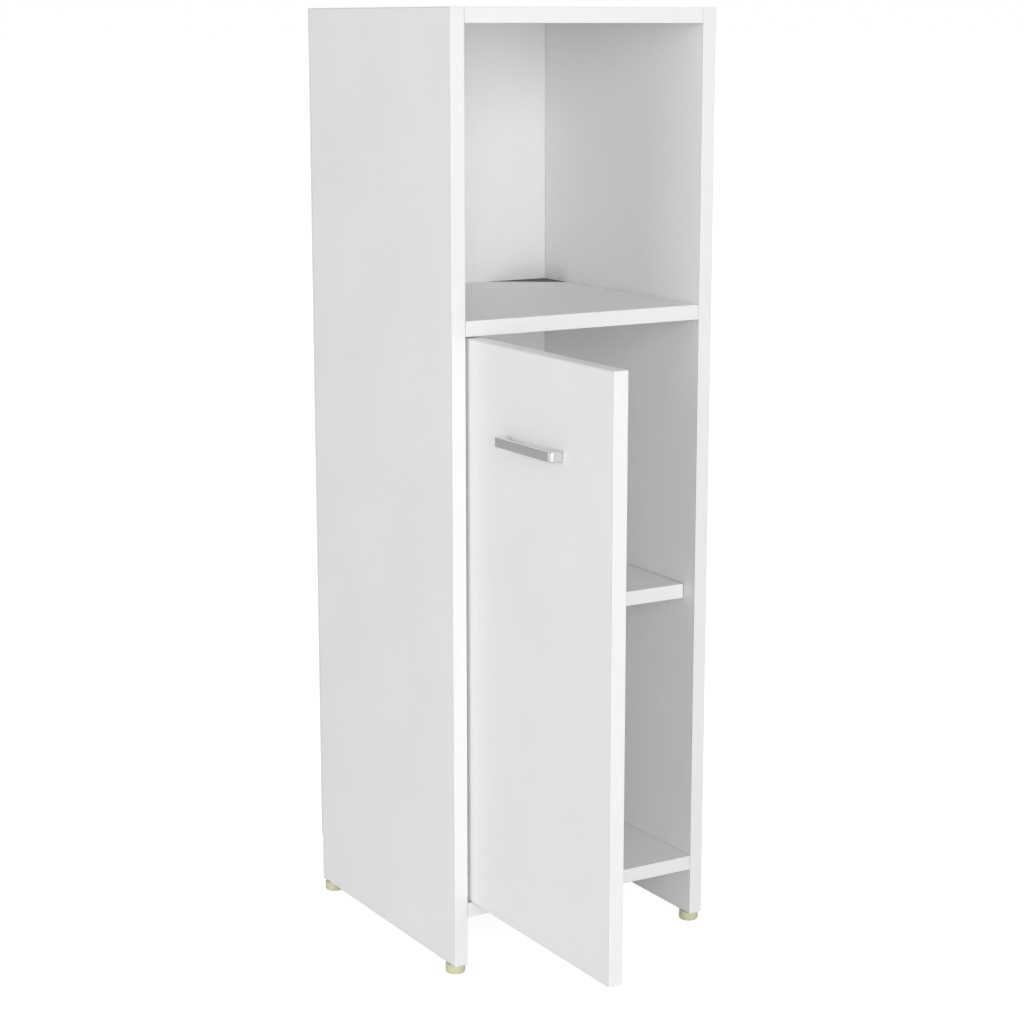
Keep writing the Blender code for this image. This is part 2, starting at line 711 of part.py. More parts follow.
def hinge_cup(name, height):
    """A thin cup with a rim, two screw wings and two ears that carry the pin."""
    inner = CUP_RADIUS - CUP_WALL
    floor = CUP_FLOOR - BOARD
    profile = (
        (0.0, floor),
        (inner, floor),
        (inner, FLANGE_TOP - BOARD),
        (CUP_RADIUS + CUP_RIM, FLANGE_TOP - BOARD),
        (CUP_RADIUS + CUP_RIM, GAP),
        (CUP_RADIUS, GAP),
        (CUP_RADIUS, -CUP_DEPTH),
        (0.0, -CUP_DEPTH),
    )
    place = (CUP_X, BOARD, height)
    cup = turned(name, profile, ROUND_STEPS, place, (0, 1, 0))
    add_wings(cup, name, height)
    ears, bore = bmesh.new(), bmesh.new()
    for side in (-1.0, 1.0):
        near, far = sorted((height + side * CUP_EAR_INNER, height + side * CUP_EAR_OUTER))
        low = (AXIS_X - CUP_EAR_BEFORE_AXIS, CUP_FLOOR - CUP_WALL / 2, near)
        high = (AXIS_X + CUP_EAR_PAST_AXIS, CUP_FLOOR + CUP_EAR_HEIGHT, far)
        add_box(ears, low, high)
    combine(cup, cutter(name + "_ears", ears, door=True), "UNION")
    half = HINGE_PIN_HALF + GAP
    ends = ((AXIS_X, AXIS_Y, height - half), (AXIS_X, AXIS_Y, height + half))
    add_rod(bore, *ends, HINGE_PIN_RADIUS + GAP)
    combine(cup, cutter(name + "_pin_bore", bore, door=True), "DIFFERENCE")
    weld(cup)
    return as_piece(cup, NICKEL, door=True)


def add_wings(cup, name, height):
    """Join the two screw wings to a cup, then clear its mouth and drill them."""
    outline = arc((0.0, WING_SPREAD), WING_HALF_WIDTH, 0.0, 180.0, ROUND_END_STEPS)
    outline += arc((0.0, -WING_SPREAD), WING_HALF_WIDTH, 180.0, 360.0, ROUND_END_STEPS)
    wings = flat_piece(name + "_wings", outline, WING_SHEET)
    upright = Matrix.Rotation(math.radians(90.0), 4, "X")
    middle = (FLANGE_BASE + FLANGE_TOP) / 2
    place = Matrix.Translation((CUP_X + WING_OFFSET, middle, height))
    wings.data.transform(place @ upright)
    shape = bmesh.new()
    shape.from_mesh(wings.data)
    bpy.data.objects.remove(wings, do_unlink=True)
    combine(cup, cutter(name + "_wing_joint", shape, door=True), "UNION")
    holes = bmesh.new()
    ends = ((CUP_X, BOARD, height), (CUP_X, FLANGE_TOP + CUT_PAST, height))
    add_rod(holes, *ends, CUP_RADIUS - CUP_WALL + MOUTH_CLEARANCE, ROUND_STEPS)
    x = CUP_X + WING_OFFSET
    for offset in (-WING_SPREAD, WING_SPREAD):
        ends = ((x, BOARD - CUT_PAST, height + offset), (x, FLANGE_TOP + CUT_PAST, height + offset))
        add_rod(holes, *ends, SCREW_RADIUS + GAP)
    combine(cup, cutter(name + "_wing_holes", holes, door=True), "DIFFERENCE")
    weld(cup)


def hinge_arm(name, height):
    """A cranked strip from the hinge pin, out of the cup and along the side."""
    line = ARM_BASE + ARM_SHEET / 2
    corners = (
        (AXIS_X, AXIS_Y),
        (ARM_NECK_X, AXIS_Y),
        (ARM_NECK_X, ARM_CRANK_Y),
        (line, ARM_CRANK_Y),
        (line, ARM_END),
    )
    outline = strip_outline(rounded_path(corners, ARM_BEND), ARM_SHEET)
    arm = flat_piece(name, outline, 2 * ARM_HALF_WIDTH)
    arm.data.transform(Matrix.Translation((0.0, 0.0, height)))
    knuckle, holes = bmesh.new(), bmesh.new()
    low, high = height - ARM_HALF_WIDTH, height + ARM_HALF_WIDTH
    add_rod(knuckle, (AXIS_X, AXIS_Y, low), (AXIS_X, AXIS_Y, high), KNUCKLE_RADIUS)
    combine(arm, cutter(name + "_knuckle", knuckle), "UNION")
    ends = ((AXIS_X, AXIS_Y, low - CUT_PAST), (AXIS_X, AXIS_Y, high + CUT_PAST))
    add_rod(holes, *ends, HINGE_PIN_RADIUS + GAP)
    ends = ((BOARD, ARM_SCREW_FRONT, height), (2 * ARM_BASE, ARM_SCREW_FRONT, height))
    add_rod(holes, *ends, ARM_SCREW_RADIUS + GAP)
    combine(arm, cutter(name + "_holes", holes), "DIFFERENCE")
    return as_piece(arm, NICKEL)


def mounting_plate(name, height):
    """A cross-shaped plate on the left side, under the arm."""
    wide, tail = PLATE_HALF_WIDTH, PLATE_TAIL_HALF_WIDTH
    reach = PLATE_SCREW_SPREAD
    end = ARM_END - PLATE_FRONT
    outline = arc((0.0, -reach), wide, 180.0, 360.0, ROUND_END_STEPS)
    outline += [(wide, -tail), (end, -tail), (end, tail), (wide, tail)]
    outline += arc((0.0, reach), wide, 0.0, 180.0, ROUND_END_STEPS)
    plate = flat_piece(name, outline, PLATE_SHEET)
    place = Matrix.Translation((PLATE_TOP - PLATE_SHEET / 2, PLATE_FRONT, height))
    axes = Matrix(((0, 0, 1, 0), (1, 0, 0, 0), (0, 1, 0, 0), (0, 0, 0, 1)))
    plate.data.transform(place @ axes)
    holes = bmesh.new()
    for y, z, radius in (
        (PLATE_FRONT, height - reach, SCREW_RADIUS),
        (PLATE_FRONT, height + reach, SCREW_RADIUS),
        (ARM_SCREW_FRONT, height, ARM_SCREW_RADIUS),
    ):
        ends = ((BOARD - CUT_PAST, y, z), (PLATE_TOP + CUT_PAST, y, z))
        add_rod(holes, *ends, radius + GAP)
    combine(plate, cutter(name + "_holes", holes), "DIFFERENCE")
    return as_piece(plate, NICKEL)


def wood_screw_profile():
    """Half of a pan-head wood screw, with its head's underside at height 0."""
    return (
        (0.0, SCREW_HEAD),
        (0.6 * SCREW_HEAD_RADIUS, SCREW_HEAD),
        (SCREW_HEAD_RADIUS, SCREW_HEAD / 2),
        (SCREW_HEAD_RADIUS, 0.0),
        (SCREW_RADIUS, 0.0),
        (SCREW_RADIUS, SCREW_POINT - SCREW_LENGTH),
        (0.0, -SCREW_LENGTH),
    )


def hinge_screws(key, height):
    """Screws of one hinge: two in the door, two in the side and one in the arm."""
    profile = wood_screw_profile()
    for number, sign in enumerate((-1.0, 1.0), 1):
        place = (CUP_X + WING_OFFSET, FLANGE_TOP + GAP, height + sign * WING_SPREAD)
        name = f"{key}_cup_screw_{number}"
        as_piece(turned(name, profile, HOLE_STEPS, place, (0, 1, 0)), ZINC, door=True)
        place = (PLATE_TOP + GAP, PLATE_FRONT, height + sign * PLATE_SCREW_SPREAD)
        name = f"{key}_plate_screw_{number}"
        as_piece(turned(name, profile, HOLE_STEPS, place, (1, 0, 0)), ZINC)
    seat = ARM_BASE + ARM_SHEET + GAP
    profile = (
        (0.0, SCREW_HEAD),
        (SCREW_HEAD_RADIUS, SCREW_HEAD),
        (SCREW_HEAD_RADIUS, 0.0),
        (ARM_SCREW_RADIUS, 0.0),
        (ARM_SCREW_RADIUS, BOARD + GAP - seat),
        (0.0, BOARD + GAP - seat),
    )
    place = (seat, ARM_SCREW_FRONT, height)
    screw = turned(f"{key}_arm_screw", profile, HOLE_STEPS, place, (1, 0, 0))
    as_piece(screw, ZINC)


def build_hinges():
    """Both hinges: cup, pin and spring on the door, arm and plate on the side."""
    for key, height in HINGE_HEIGHTS.items():
        hinge_cup(f"{key}_hinge_cup", height)
        hinge_arm(f"{key}_hinge_arm", height)
        mounting_plate(f"{key}_hinge_plate", height)
        hinge_screws(key, height)
        pin = bmesh.new()
        ends = (height - HINGE_PIN_HALF, height + HINGE_PIN_HALF)
        add_rod(pin, *[(AXIS_X, AXIS_Y, end) for end in ends], HINGE_PIN_RADIUS)
        as_piece(shade_round(mesh_object(f"{key}_hinge_pin", pin)), ZINC, door=True)
        start = AXIS_X + KNUCKLE_RADIUS + SPRING_CLEARANCE
        low = (start, CUP_FLOOR + GAP, height - SPRING_HALF_WIDTH)
        top = low[1] + SPRING_SHEET
        high = (start + SPRING_LENGTH, top, height + SPRING_HALF_WIDTH)
        as_piece(box(f"{key}_hinge_spring", low, high), SPRING_STEEL, door=True)


clear_scene()
PARTS = new_collection("bathroom_cabinet")
CUTTERS = new_collection("cutters")

COATED_BOARD = new_material("white_coated_board", (0.76, 0.76, 0.76), 0.45)
HARDBOARD = new_material("white_hardboard", (0.72, 0.72, 0.72), 0.6)
CHROME = new_material("chrome_handle", (0.86, 0.86, 0.87), 0.12, 1.0)
NICKEL = new_material("nickel_hinge", (0.68, 0.67, 0.64), 0.28, 1.0)
ZINC = new_material("zinc_fitting", (0.62, 0.62, 0.62), 0.38, 1.0)
SPRING_STEEL = new_material("spring_steel", (0.45, 0.46, 0.48), 0.32, 1.0)
DOWEL_WOOD = new_material("beech_dowel", (0.62, 0.43, 0.26), 0.7)
FOOT_PLASTIC = new_material("khaki_foot_plastic", (0.6, 0.6, 0.4), 0.5)
CAP_PLASTIC = new_material("dark_grey_cap_plastic", (0.12, 0.12, 0.12), 0.5)

# The cabinet stands centred between its sides, and midway between the open
# door's free edge and the back.
CABINET = new_empty("cabinet", (-WIDTH / 2, -(DEPTH + DOOR_FREE_END) / 2, 0.0))
DOOR_AXIS = new_empty("door_axis", (AXIS_X, AXIS_Y, 0.0), CABINET)
DOOR_AXIS.rotation_euler.z = -DOOR_OPEN_AT_REST

build_sides()
build_fixed_boards()
corner_cap()
build_loose_shelf()
build_back()
build_feet()
build_cam_fittings()
build_dowels()
build_door()
build_handle()
build_hinges()
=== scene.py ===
"""Looks of a tall narrow bathroom cabinet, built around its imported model.

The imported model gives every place: the script asks it where a node lies and
builds the finished piece there. Boards get their edge bands, fittings get
their stamped and turned shapes, and every surface gets its finish.

Lengths in the classes are millimetres. Meshes are made in metres, with X to
the right, Y to the wall behind and Z up.
"""

import functools
import logging
import math
from collections.abc import Callable, Iterable, Sequence
from dataclasses import dataclass, field
from enum import Enum

import bmesh
import bpy
from mathutils import Matrix, Vector

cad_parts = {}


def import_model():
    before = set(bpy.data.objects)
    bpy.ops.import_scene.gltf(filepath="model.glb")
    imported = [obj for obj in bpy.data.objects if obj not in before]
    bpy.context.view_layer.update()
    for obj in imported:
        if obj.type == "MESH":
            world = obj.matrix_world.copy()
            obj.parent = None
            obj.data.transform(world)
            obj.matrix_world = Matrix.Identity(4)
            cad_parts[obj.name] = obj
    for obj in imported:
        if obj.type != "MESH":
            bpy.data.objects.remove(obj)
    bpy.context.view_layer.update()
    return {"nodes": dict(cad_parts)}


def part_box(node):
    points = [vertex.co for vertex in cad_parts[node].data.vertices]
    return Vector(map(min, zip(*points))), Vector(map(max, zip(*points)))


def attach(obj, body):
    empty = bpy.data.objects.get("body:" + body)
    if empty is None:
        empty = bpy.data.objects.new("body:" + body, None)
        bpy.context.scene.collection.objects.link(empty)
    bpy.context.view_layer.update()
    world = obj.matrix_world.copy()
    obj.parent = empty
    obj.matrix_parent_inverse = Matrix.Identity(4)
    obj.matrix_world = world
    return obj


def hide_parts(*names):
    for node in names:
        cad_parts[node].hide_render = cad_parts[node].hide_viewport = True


LOG = logging.getLogger("cabinet")

MM = 0.001
WELD_DISTANCE = 0.001 * MM
FULL_TURN = 2 * math.pi
# Length of one period of the wave texture, at a scale of 1.
WAVE_PERIOD = FULL_TURN / 20

Outline = Sequence[tuple[float, float]]


class Body(Enum):
    """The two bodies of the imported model."""

    CABINET = "cabinet"
    DOOR = "door"


class Slot(Enum):
    """The record's material slots."""

    BOARD = "white_board"
    HARDBOARD = "hardboard"
    CHROME = "chrome_handle"
    NICKEL = "nickel_plated_steel"
    ZINC = "zinc_plated_steel"
    SPRING = "spring_steel"
    DOWEL = "beech_dowel"
    FOOT = "foot_plastic"
    CAP = "cap_plastic"


class Side(Enum):
    """A side of a board, as the axis that it faces and the sign of that axis."""

    LEFT = (0, -1)
    RIGHT = (0, 1)
    FRONT = (1, -1)
    BACK = (1, 1)
    BELOW = (2, -1)
    ABOVE = (2, 1)

    @property
    def axis(self) -> int:
        """Index of the axis."""
        return self.value[0]

    @property
    def sign(self) -> int:
        """Direction along the axis."""
        return self.value[1]


# ---------------------------------------------------------------- materials


def linear(code: str) -> tuple[float, float, float, float]:
    """Turn an sRGB hex colour into the linear values that shaders take.

    Args:
        code: Six hex digits.

    Returns:
        Red, green, blue and an alpha of one.
    """
    parts = [int(code[i : i + 2], 16) / 255 for i in (0, 2, 4)]
    made = [p / 12.92 if p <= 0.04045 else ((p + 0.055) / 1.055) ** 2.4 for p in parts]
    return (*made, 1.0)


def add_node(
    tree: bpy.types.NodeTree,
    kind: str,
    inputs: dict[str, object] | None = None,
    **settings: object,
) -> bpy.types.Node:
    """Add a node with its settings, input values and links.

    Args:
        tree: The material's node tree.
        kind: The node's type name, without the ShaderNode in front.
        inputs: Value of each input, or the output socket that drives it.
        **settings: The node's own properties.

    Returns:
        The new node.
    """
    node = tree.nodes.new("ShaderNode" + kind)
    for name, value in settings.items():
        setattr(node, name, value)
    for name, value in (inputs or {}).items():
        socket = node.inputs[int(name) if name.isdigit() else name]
        if isinstance(value, bpy.types.NodeSocket):
            tree.links.new(value, socket)
        else:
            socket.default_value = value
    return node


def per_metre(size: float) -> float:
    """Texture scale that repeats a pattern about every size millimetres."""
    return 1 / (size * MM)


@dataclass(frozen=True)
class Finish:
    """A surface finish: a Principled shader with slow and fine variation.

    The slow pattern shifts the colour and the roughness a little, and the
    fine pattern is the relief that the surface was made with.
    """

    name: str
    colour: str
    shade: str
    roughness: float
    metallic: float = 0.0
    patch: float = 60.0
    roughness_spread: float = 0.06
    grain: float = 2.0
    relief: float = 0.004
    stretch: tuple[float, float, float] = (1.0, 1.0, 1.0)

    def relief_height(
        self, tree: bpy.types.NodeTree, place: bpy.types.NodeSocket
    ) -> bpy.types.NodeSocket:
        """Height pattern of the fine relief.

        Args:
            tree: The material's node tree.
            place: Object coordinates.

        Returns:
            The socket that carries the height, from 0 to 1.
        """
        settings = {"Vector": place, "Scale": per_metre(self.grain), "Detail": 3.0}
        return add_node(tree, "TexNoise", settings).outputs["Fac"]

    def colour_socket(
        self, tree: bpy.types.NodeTree, place: bpy.types.NodeSocket, slow: bpy.types.NodeSocket
    ) -> bpy.types.NodeSocket:
        """Colour pattern: a slow drift between the two near colours.

        Args:
            tree: The material's node tree.
            place: Object coordinates; not used here.
            slow: The slow pattern, from 0 to 1.

        Returns:
            The socket that carries the colour.
        """
        ramp = add_node(tree, "ValToRGB", {"Fac": slow})
        ramp.color_ramp.elements[0].position = 0.35
        ramp.color_ramp.elements[0].color = linear(self.shade)
        ramp.color_ramp.elements[1].position = 0.65
        ramp.color_ramp.elements[1].color = linear(self.colour)
        return ramp.outputs["Color"]

    def tune(self, shader: bpy.types.Node) -> None:
        """Set what is special to one finish on the shader's own sockets."""

    def material(self) -> bpy.types.Material:
        """The finish as a material, made once.

        Returns:
            The material of this finish's name.
        """
        known = bpy.data.materials.get(self.name)
        if known:
            return known
        made = bpy.data.materials.new(self.name)
        made.use_nodes = True
        tree = made.node_tree
        shader = tree.nodes["Principled BSDF"]
        origin = add_node(tree, "TexCoord").outputs["Object"]
        mapping = add_node(tree, "Mapping", {"Vector": origin, "Scale": self.stretch})
        place = mapping.outputs["Vector"]
        settings = {"Vector": place, "Scale": per_metre(self.patch), "Detail": 4.0}
        slow = add_node(tree, "TexNoise", settings).outputs["Fac"]
        tree.links.new(self.colour_socket(tree, place, slow), shader.inputs["Base Color"])
        settings = {
            "Value": slow,
            "From Min": 0.3,
            "From Max": 0.7,
            "To Min": self.roughness - self.roughness_spread,
            "To Max": self.roughness + self.roughness_spread,
        }
        uneven = add_node(tree, "MapRange", settings).outputs["Result"]
        tree.links.new(uneven, shader.inputs["Roughness"])
        shader.inputs["Metallic"].default_value = self.metallic
        self.tune(shader)
        if self.relief:
            height = self.relief_height(tree, place)
            settings = {"Height": height, "Distance": self.relief * MM, "Strength": 1.0}
            bump = add_node(tree, "Bump", settings)
            tree.links.new(bump.outputs["Normal"], shader.inputs["Normal"])
        return made


@dataclass(frozen=True)
class MeshBackFinish(Finish):
    """Painted hardboard whose back still shows the press's wire screen."""

    pitch: float = 2.2

    def relief_height(
        self, tree: bpy.types.NodeTree, place: bpy.types.NodeSocket
    ) -> bpy.types.NodeSocket:
        """Two crossing waves, as the wire screen leaves them.

        Args:
            tree: The material's node tree.
            place: Object coordinates.

        Returns:
            The socket that carries the height, from 0 to 1.
        """
        waves = []
        for direction in ("X", "Z"):
            scale = per_metre(self.pitch) * WAVE_PERIOD
            settings = {"Vector": place, "Scale": scale}
            wave = add_node(tree, "TexWave", settings, bands_direction=direction)
            waves.append(wave.outputs["Fac"])
        mixed = add_node(tree, "Math", {"0": waves[0], "1": waves[1]}, operation="MULTIPLY")
        return mixed.outputs["Value"]


@dataclass(frozen=True)
class ChipboardFinish(Finish):
    """Raw chipboard: pressed flakes in mixed tans, seen in bores and raw edges."""

    flake: float = 2.5
    dark: str = "7D5F40"

    def colour_socket(
        self, tree: bpy.types.NodeTree, place: bpy.types.NodeSocket, slow: bpy.types.NodeSocket
    ) -> bpy.types.NodeSocket:
        """Every flake takes its own tan.

        Args:
            tree: The material's node tree.
            place: Object coordinates.
            slow: The slow pattern, from 0 to 1; not used here.

        Returns:
            The socket that carries the colour.
        """
        settings = {"Vector": place, "Scale": per_metre(self.flake)}
        cells = add_node(tree, "TexVoronoi", settings).outputs["Color"]
        tone = add_node(tree, "RGBToBW", {"Color": cells}).outputs["Val"]
        ramp = add_node(tree, "ValToRGB", {"Fac": tone})
        ramp.color_ramp.elements[0].color = linear(self.dark)
        ramp.color_ramp.elements[1].color = linear(self.colour)
        middle = ramp.color_ramp.elements.new(0.5)
        middle.color = linear(self.shade)
        return ramp.outputs["Color"]


@dataclass(frozen=True)
class PlasticFinish(Finish):
    """Moulded polypropylene: a waxy plastic that lets a little light in."""

    depth: float = 1.5

    def tune(self, shader: bpy.types.Node) -> None:
        """Let light scatter under the skin."""
        shader.inputs["Subsurface Weight"].default_value = 0.15
        shader.inputs["Subsurface Radius"].default_value = (1.0, 0.9, 0.6)
        shader.inputs["Subsurface Scale"].default_value = self.depth * MM
        shader.inputs["IOR"].default_value = 1.49


@dataclass(frozen=True)
class BoardFinish(Finish):
    """Melamine-faced board or edge band: hard, satin and faintly pearled."""

    def tune(self, shader: bpy.types.Node) -> None:
        """Melamine resin bends light a little more than most plastics."""
        shader.inputs["IOR"].default_value = 1.52


# Melamine foil pressed on chipboard with a pearled steel plate. The real pearl
# is 0.3 mm across. It is drawn at 1.6 mm, so that it still breaks up a sheen.
MELAMINE = BoardFinish(
    "white_melamine_face", "F6F6F6", "F4F4F4", 0.44, patch=90, grain=1.6, relief=0.006
)
# ABS strip glued to the board's edges. It is smoother than the face, with
# faint draw lines.
EDGE_BAND = BoardFinish(
    "white_abs_edge_band", "F5F5F5", "F4F4F4", 0.36, patch=30, grain=0.8, relief=0.002
)
# Hot-melt glue shows as a thin greyer line between the face and the band.
GLUE_LINE = Finish("hot_melt_glue_line", "C9C7C1", "BFBDB6", 0.5, patch=8, grain=0.5, relief=0)
# The board's pressed core in bores and on raw edges.
CHIPBOARD = ChipboardFinish(
    "raw_chipboard", "CDB08A", "AD8D66", 0.85, patch=12, grain=1.2, relief=0.15
)
# Water-based white paint rolled on hardboard, a little duller than melamine.
PAINTED_HARDBOARD = Finish(
    "white_painted_hardboard", "F3F3F3", "F1F1F1", 0.55, patch=70, grain=1.0, relief=0.01
)
SCREEN_HARDBOARD = MeshBackFinish(
    "white_screen_back_hardboard", "E2E1DD", "DCDBD6", 0.7, patch=45, relief=0.12
)
# Bright chrome over polished zinc: a mirror with the faintest buffing haze.
CHROME = Finish(
    "bright_chrome_plate",
    "E6E7E9",
    "E2E3E5",
    0.09,
    metallic=1.0,
    patch=25,
    roughness_spread=0.03,
    grain=4.0,
    relief=0.002,
)
# Nickel on stamped steel: warm grey, with rolling lines along the sheet.
NICKEL = Finish(
    "nickel_plated_stamping",
    "C6C3BC",
    "BEBBB4",
    0.27,
    metallic=1.0,
    patch=9,
    grain=1.2,
    relief=0.006,
    stretch=(1.0, 1.0, 5.0),
)
# Clear-passivated zinc on screws and pins: a cool grey with cloudy patches.
ZINC = Finish(
    "zinc_plated_steel", "BDC1C4", "AFB4B8", 0.34, metallic=1.0, patch=4, grain=0.8, relief=0.006
)
# Die-cast zinc of the cams: duller, with the sand-like skin of the casting.
CAST_ZINC = Finish(
    "die_cast_zinc", "B4B7B9", "A6A9AC", 0.42, metallic=1.0, patch=5, grain=0.6, relief=0.02
)
# Rolled spring strip: dark, oiled and striped along its length.
SPRING_STEEL = Finish(
    "oiled_spring_steel",
    "8C8F94",
    "7D8085",
    0.3,
    metallic=1.0,
    patch=6,
    grain=0.7,
    relief=0.006,
    stretch=(1.0, 0.12, 1.0),
)
# Beech: pale pinkish tan with fine fibres along the dowel.
BEECH = Finish(
    "turned_beech",
    "D3B184",
    "BD9668",
    0.6,
    patch=5,
    roughness_spread=0.04,
    grain=0.9,
    relief=0.04,
    stretch=(0.15, 1.0, 1.0),
)
# Polypropylene of the corner cap, with a dull eroded skin. Its dark grey is painted shade: it
# stands in for the shade inside the shelf's cut corner.
SHADE_GREY_CAP_PLASTIC = PlasticFinish(
    "painted_shade_grey_polypropylene", "5A5A5A", "565656", 0.7, patch=9, grain=0.6, relief=0.02
)
# Polypropylene of the feet: khaki, waxy, with a fine spark-eroded skin.
FOOT_PLASTIC = PlasticFinish(
    "khaki_moulded_polypropylene", "D6D5B6", "D1D0AE", 0.46, patch=7, grain=0.5, relief=0.012
)


# ------------------------------------------------------------------- meshes


def block(low: Vector, high: Vector) -> bmesh.types.BMesh:
    """A box between two corners.

    Args:
        low: Lowest corner.
        high: Highest corner.

    Returns:
        The box.
    """
    shape = bmesh.new()
    bmesh.ops.create_cube(shape, size=1.0)
    bmesh.ops.scale(shape, vec=high - low, verts=shape.verts)
    bmesh.ops.translate(shape, vec=(high + low) / 2, verts=shape.verts)
    return shape


def rod(start: Vector, end: Vector, radius: float, steps: int = 32) -> bmesh.types.BMesh:
    """A closed cylinder between two points.

    Args:
        start: Middle of one end.
        end: Middle of the other end.
        radius: Radius in metres.
        steps: Number of sides.

    Returns:
        The cylinder.
    """
    along = end - start
    turn = Vector((0, 0, 1)).rotation_difference(along).to_matrix().to_4x4()
    shape = bmesh.new()
    bmesh.ops.create_cone(
        shape,
        cap_ends=True,
        segments=steps,
        radius1=radius,
        radius2=radius,
        depth=along.length,
        matrix=Matrix.Translation((start + end) / 2) @ turn,
    )
    return shape


def lathe(profile: Outline, steps: int = 64) -> bmesh.types.BMesh:
    """Turn a profile of (radius, height) points in millimetres about Z.

    Args:
        profile: Points from one pole to the other.
        steps: Number of sides.

    Returns:
        The closed turned shape.
    """
    shape = bmesh.new()
    line = [shape.verts.new((radius * MM, 0, height * MM)) for radius, height in profile]
    edges = [shape.edges.new(pair) for pair in zip(line, line[1:])]
    bmesh.ops.spin(
        shape,
        geom=[*line, *edges],
        cent=(0, 0, 0),
        axis=(0, 0, 1),
        dvec=(0, 0, 0),
        angle=FULL_TURN,
        steps=steps,
        use_merge=True,
        use_normal_flip=False,
        use_duplicate=False,
    )
    bmesh.ops.remove_doubles(shape, verts=shape.verts, dist=WELD_DISTANCE)
    bmesh.ops.recalc_face_normals(shape, faces=shape.faces)
    return shape


def slab(outline: Outline, low: float, high: float) -> bmesh.types.BMesh:
    """Raise a flat outline in XY between two heights, all in millimetres.

    Args:
        outline: Corners in order.
        low: Height of the lower face.
        high: Height of the upper face.

    Returns:
        The closed slab.
    """
    shape = bmesh.new()
    face = shape.faces.new([shape.verts.new((x * MM, y * MM, low * MM)) for x, y in outline])
    raised = bmesh.ops.extrude_face_region(shape, geom=[face])["geom"]
    top = [item for item in raised if isinstance(item, bmesh.types.BMVert)]
    bmesh.ops.translate(shape, vec=(0, 0, (high - low) * MM), verts=top)
    bmesh.ops.recalc_face_normals(shape, faces=shape.faces)
    return shape


def arc(
    centre: tuple[float, float], radius: float, start: float, end: float, steps: int = 8
) -> list[tuple[float, float]]:
    """Points along an arc.

    Args:
        centre: Middle of the arc.
        radius: Radius.
        start: First angle in degrees.
        end: Last angle in degrees.
        steps: Number of chords.

    Returns:
        The points, from first to last.
    """
    points = []
    for step in range(steps + 1):
        angle = math.radians(start + (end - start) * step / steps)
        x = centre[0] + radius * math.cos(angle)
        points.append((x, centre[1] + radius * math.sin(angle)))
    return points


def soften(
    shape: bmesh.types.BMesh,
    width: float,
    segments: int = 3,
    keep: Callable[[bmesh.types.BMEdge], bool] | None = None,
) -> None:
    """Round the sharp edges of a closed shape.

    Args:
        shape: The shape, changed in place.
        width: Width of the rounding in millimetres.
        segments: Number of facets across it.
        keep: Says which of the sharp edges are rounded, or all of them.
    """
    sharp = math.radians(35)
    edges = [
        edge
        for edge in shape.edges
        if len(edge.link_faces) == 2
        and edge.calc_face_angle(0) > sharp
        and (keep is None or keep(edge))
    ]
    bmesh.ops.bevel(
        shape,
        geom=edges,
        offset=width * MM,
        offset_type="OFFSET",
        affect="EDGES",
        segments=segments,
        profile=0.5,
        material=-1,
        clamp_overlap=True,
    )


def placed(shape: bmesh.types.BMesh, matrix: Matrix) -> bmesh.types.BMesh:
    """Move a shape by a matrix and return it."""
    bmesh.ops.transform(shape, matrix=matrix, verts=shape.verts)
    return shape


def gather(shapes: Iterable[bmesh.types.BMesh]) -> bmesh.types.BMesh:
    """Put several closed shapes in one mesh, each as its own shell.

    Args:
        shapes: The shapes, which are freed.

    Returns:
        The mesh that holds them all.
    """
    whole = bmesh.new()
    for shape in shapes:
        mesh = bpy.data.meshes.new("shell")
        shape.to_mesh(mesh)
        shape.free()
        whole.from_mesh(mesh)
        bpy.data.meshes.remove(mesh)
    return whole


def carve(
    shape: bmesh.types.BMesh, tool: bmesh.types.BMesh, operation: str = "DIFFERENCE"
) -> bmesh.types.BMesh:
    """Cut one closed shape out of another, or join it on.

    Args:
        shape: The shape that is worked on.
        tool: The shape that cuts or is joined.
        operation: DIFFERENCE or UNION.

    Returns:
        The result; both inputs are freed.
    """
    items = []
    for source in (shape, tool):
        mesh = bpy.data.meshes.new("carving")
        source.to_mesh(mesh)
        source.free()
        item = bpy.data.objects.new("carving", mesh)
        bpy.context.scene.collection.objects.link(item)
        items.append(item)
    step = items[0].modifiers.new("carve", "BOOLEAN")
    step.object = items[1]
    step.operation = operation
    step.solver = "EXACT"
    view = bpy.context.evaluated_depsgraph_get()
    result = bmesh.new()
    result.from_object(items[0], view)
    for item in items:
        mesh = item.data
        bpy.data.objects.remove(item)
        bpy.data.meshes.remove(mesh)
    bmesh.ops.remove_doubles(result, verts=result.verts, dist=WELD_DISTANCE)
    return result


def deliver(
    name: str,
    shape: bmesh.types.BMesh,
    finishes: Sequence[Finish],
    body: Body,
    node: str | None = None,
    smooth: float = 40.0,
) -> bpy.types.Object:
    """Make a finished piece and put it on its body.

    Args:
        name: The piece's name.
        shape: Its mesh, in place, which is freed.
        finishes: Its finishes, in the order of its faces' material numbers.
        body: The body that it rides on.
        node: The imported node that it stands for.
        smooth: Angle in degrees above which an edge stays sharp.

    Returns:
        The piece.
    """
    mesh = bpy.data.meshes.new(name)
    shape.to_mesh(mesh)
    shape.free()
    for finish in finishes:
        mesh.materials.append(finish.material())
    mesh.shade_smooth()
    mesh.set_sharp_from_angle(angle=math.radians(smooth))
    piece = bpy.data.objects.new(name, mesh)
    bpy.context.scene.collection.objects.link(piece)
    weighted = piece.modifiers.new("flat faces stay flat", "WEIGHTED_NORMAL")
    weighted.keep_sharp = True
    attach(piece, body.value)
    if node:
        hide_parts(node)
    LOG.info("%s: %d faces, rides on %s", name, len(mesh.polygons), body.value)
    return piece


def middle_of(node: str) -> Vector:
    """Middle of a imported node's box."""
    low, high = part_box(node)
    return (low + high) / 2


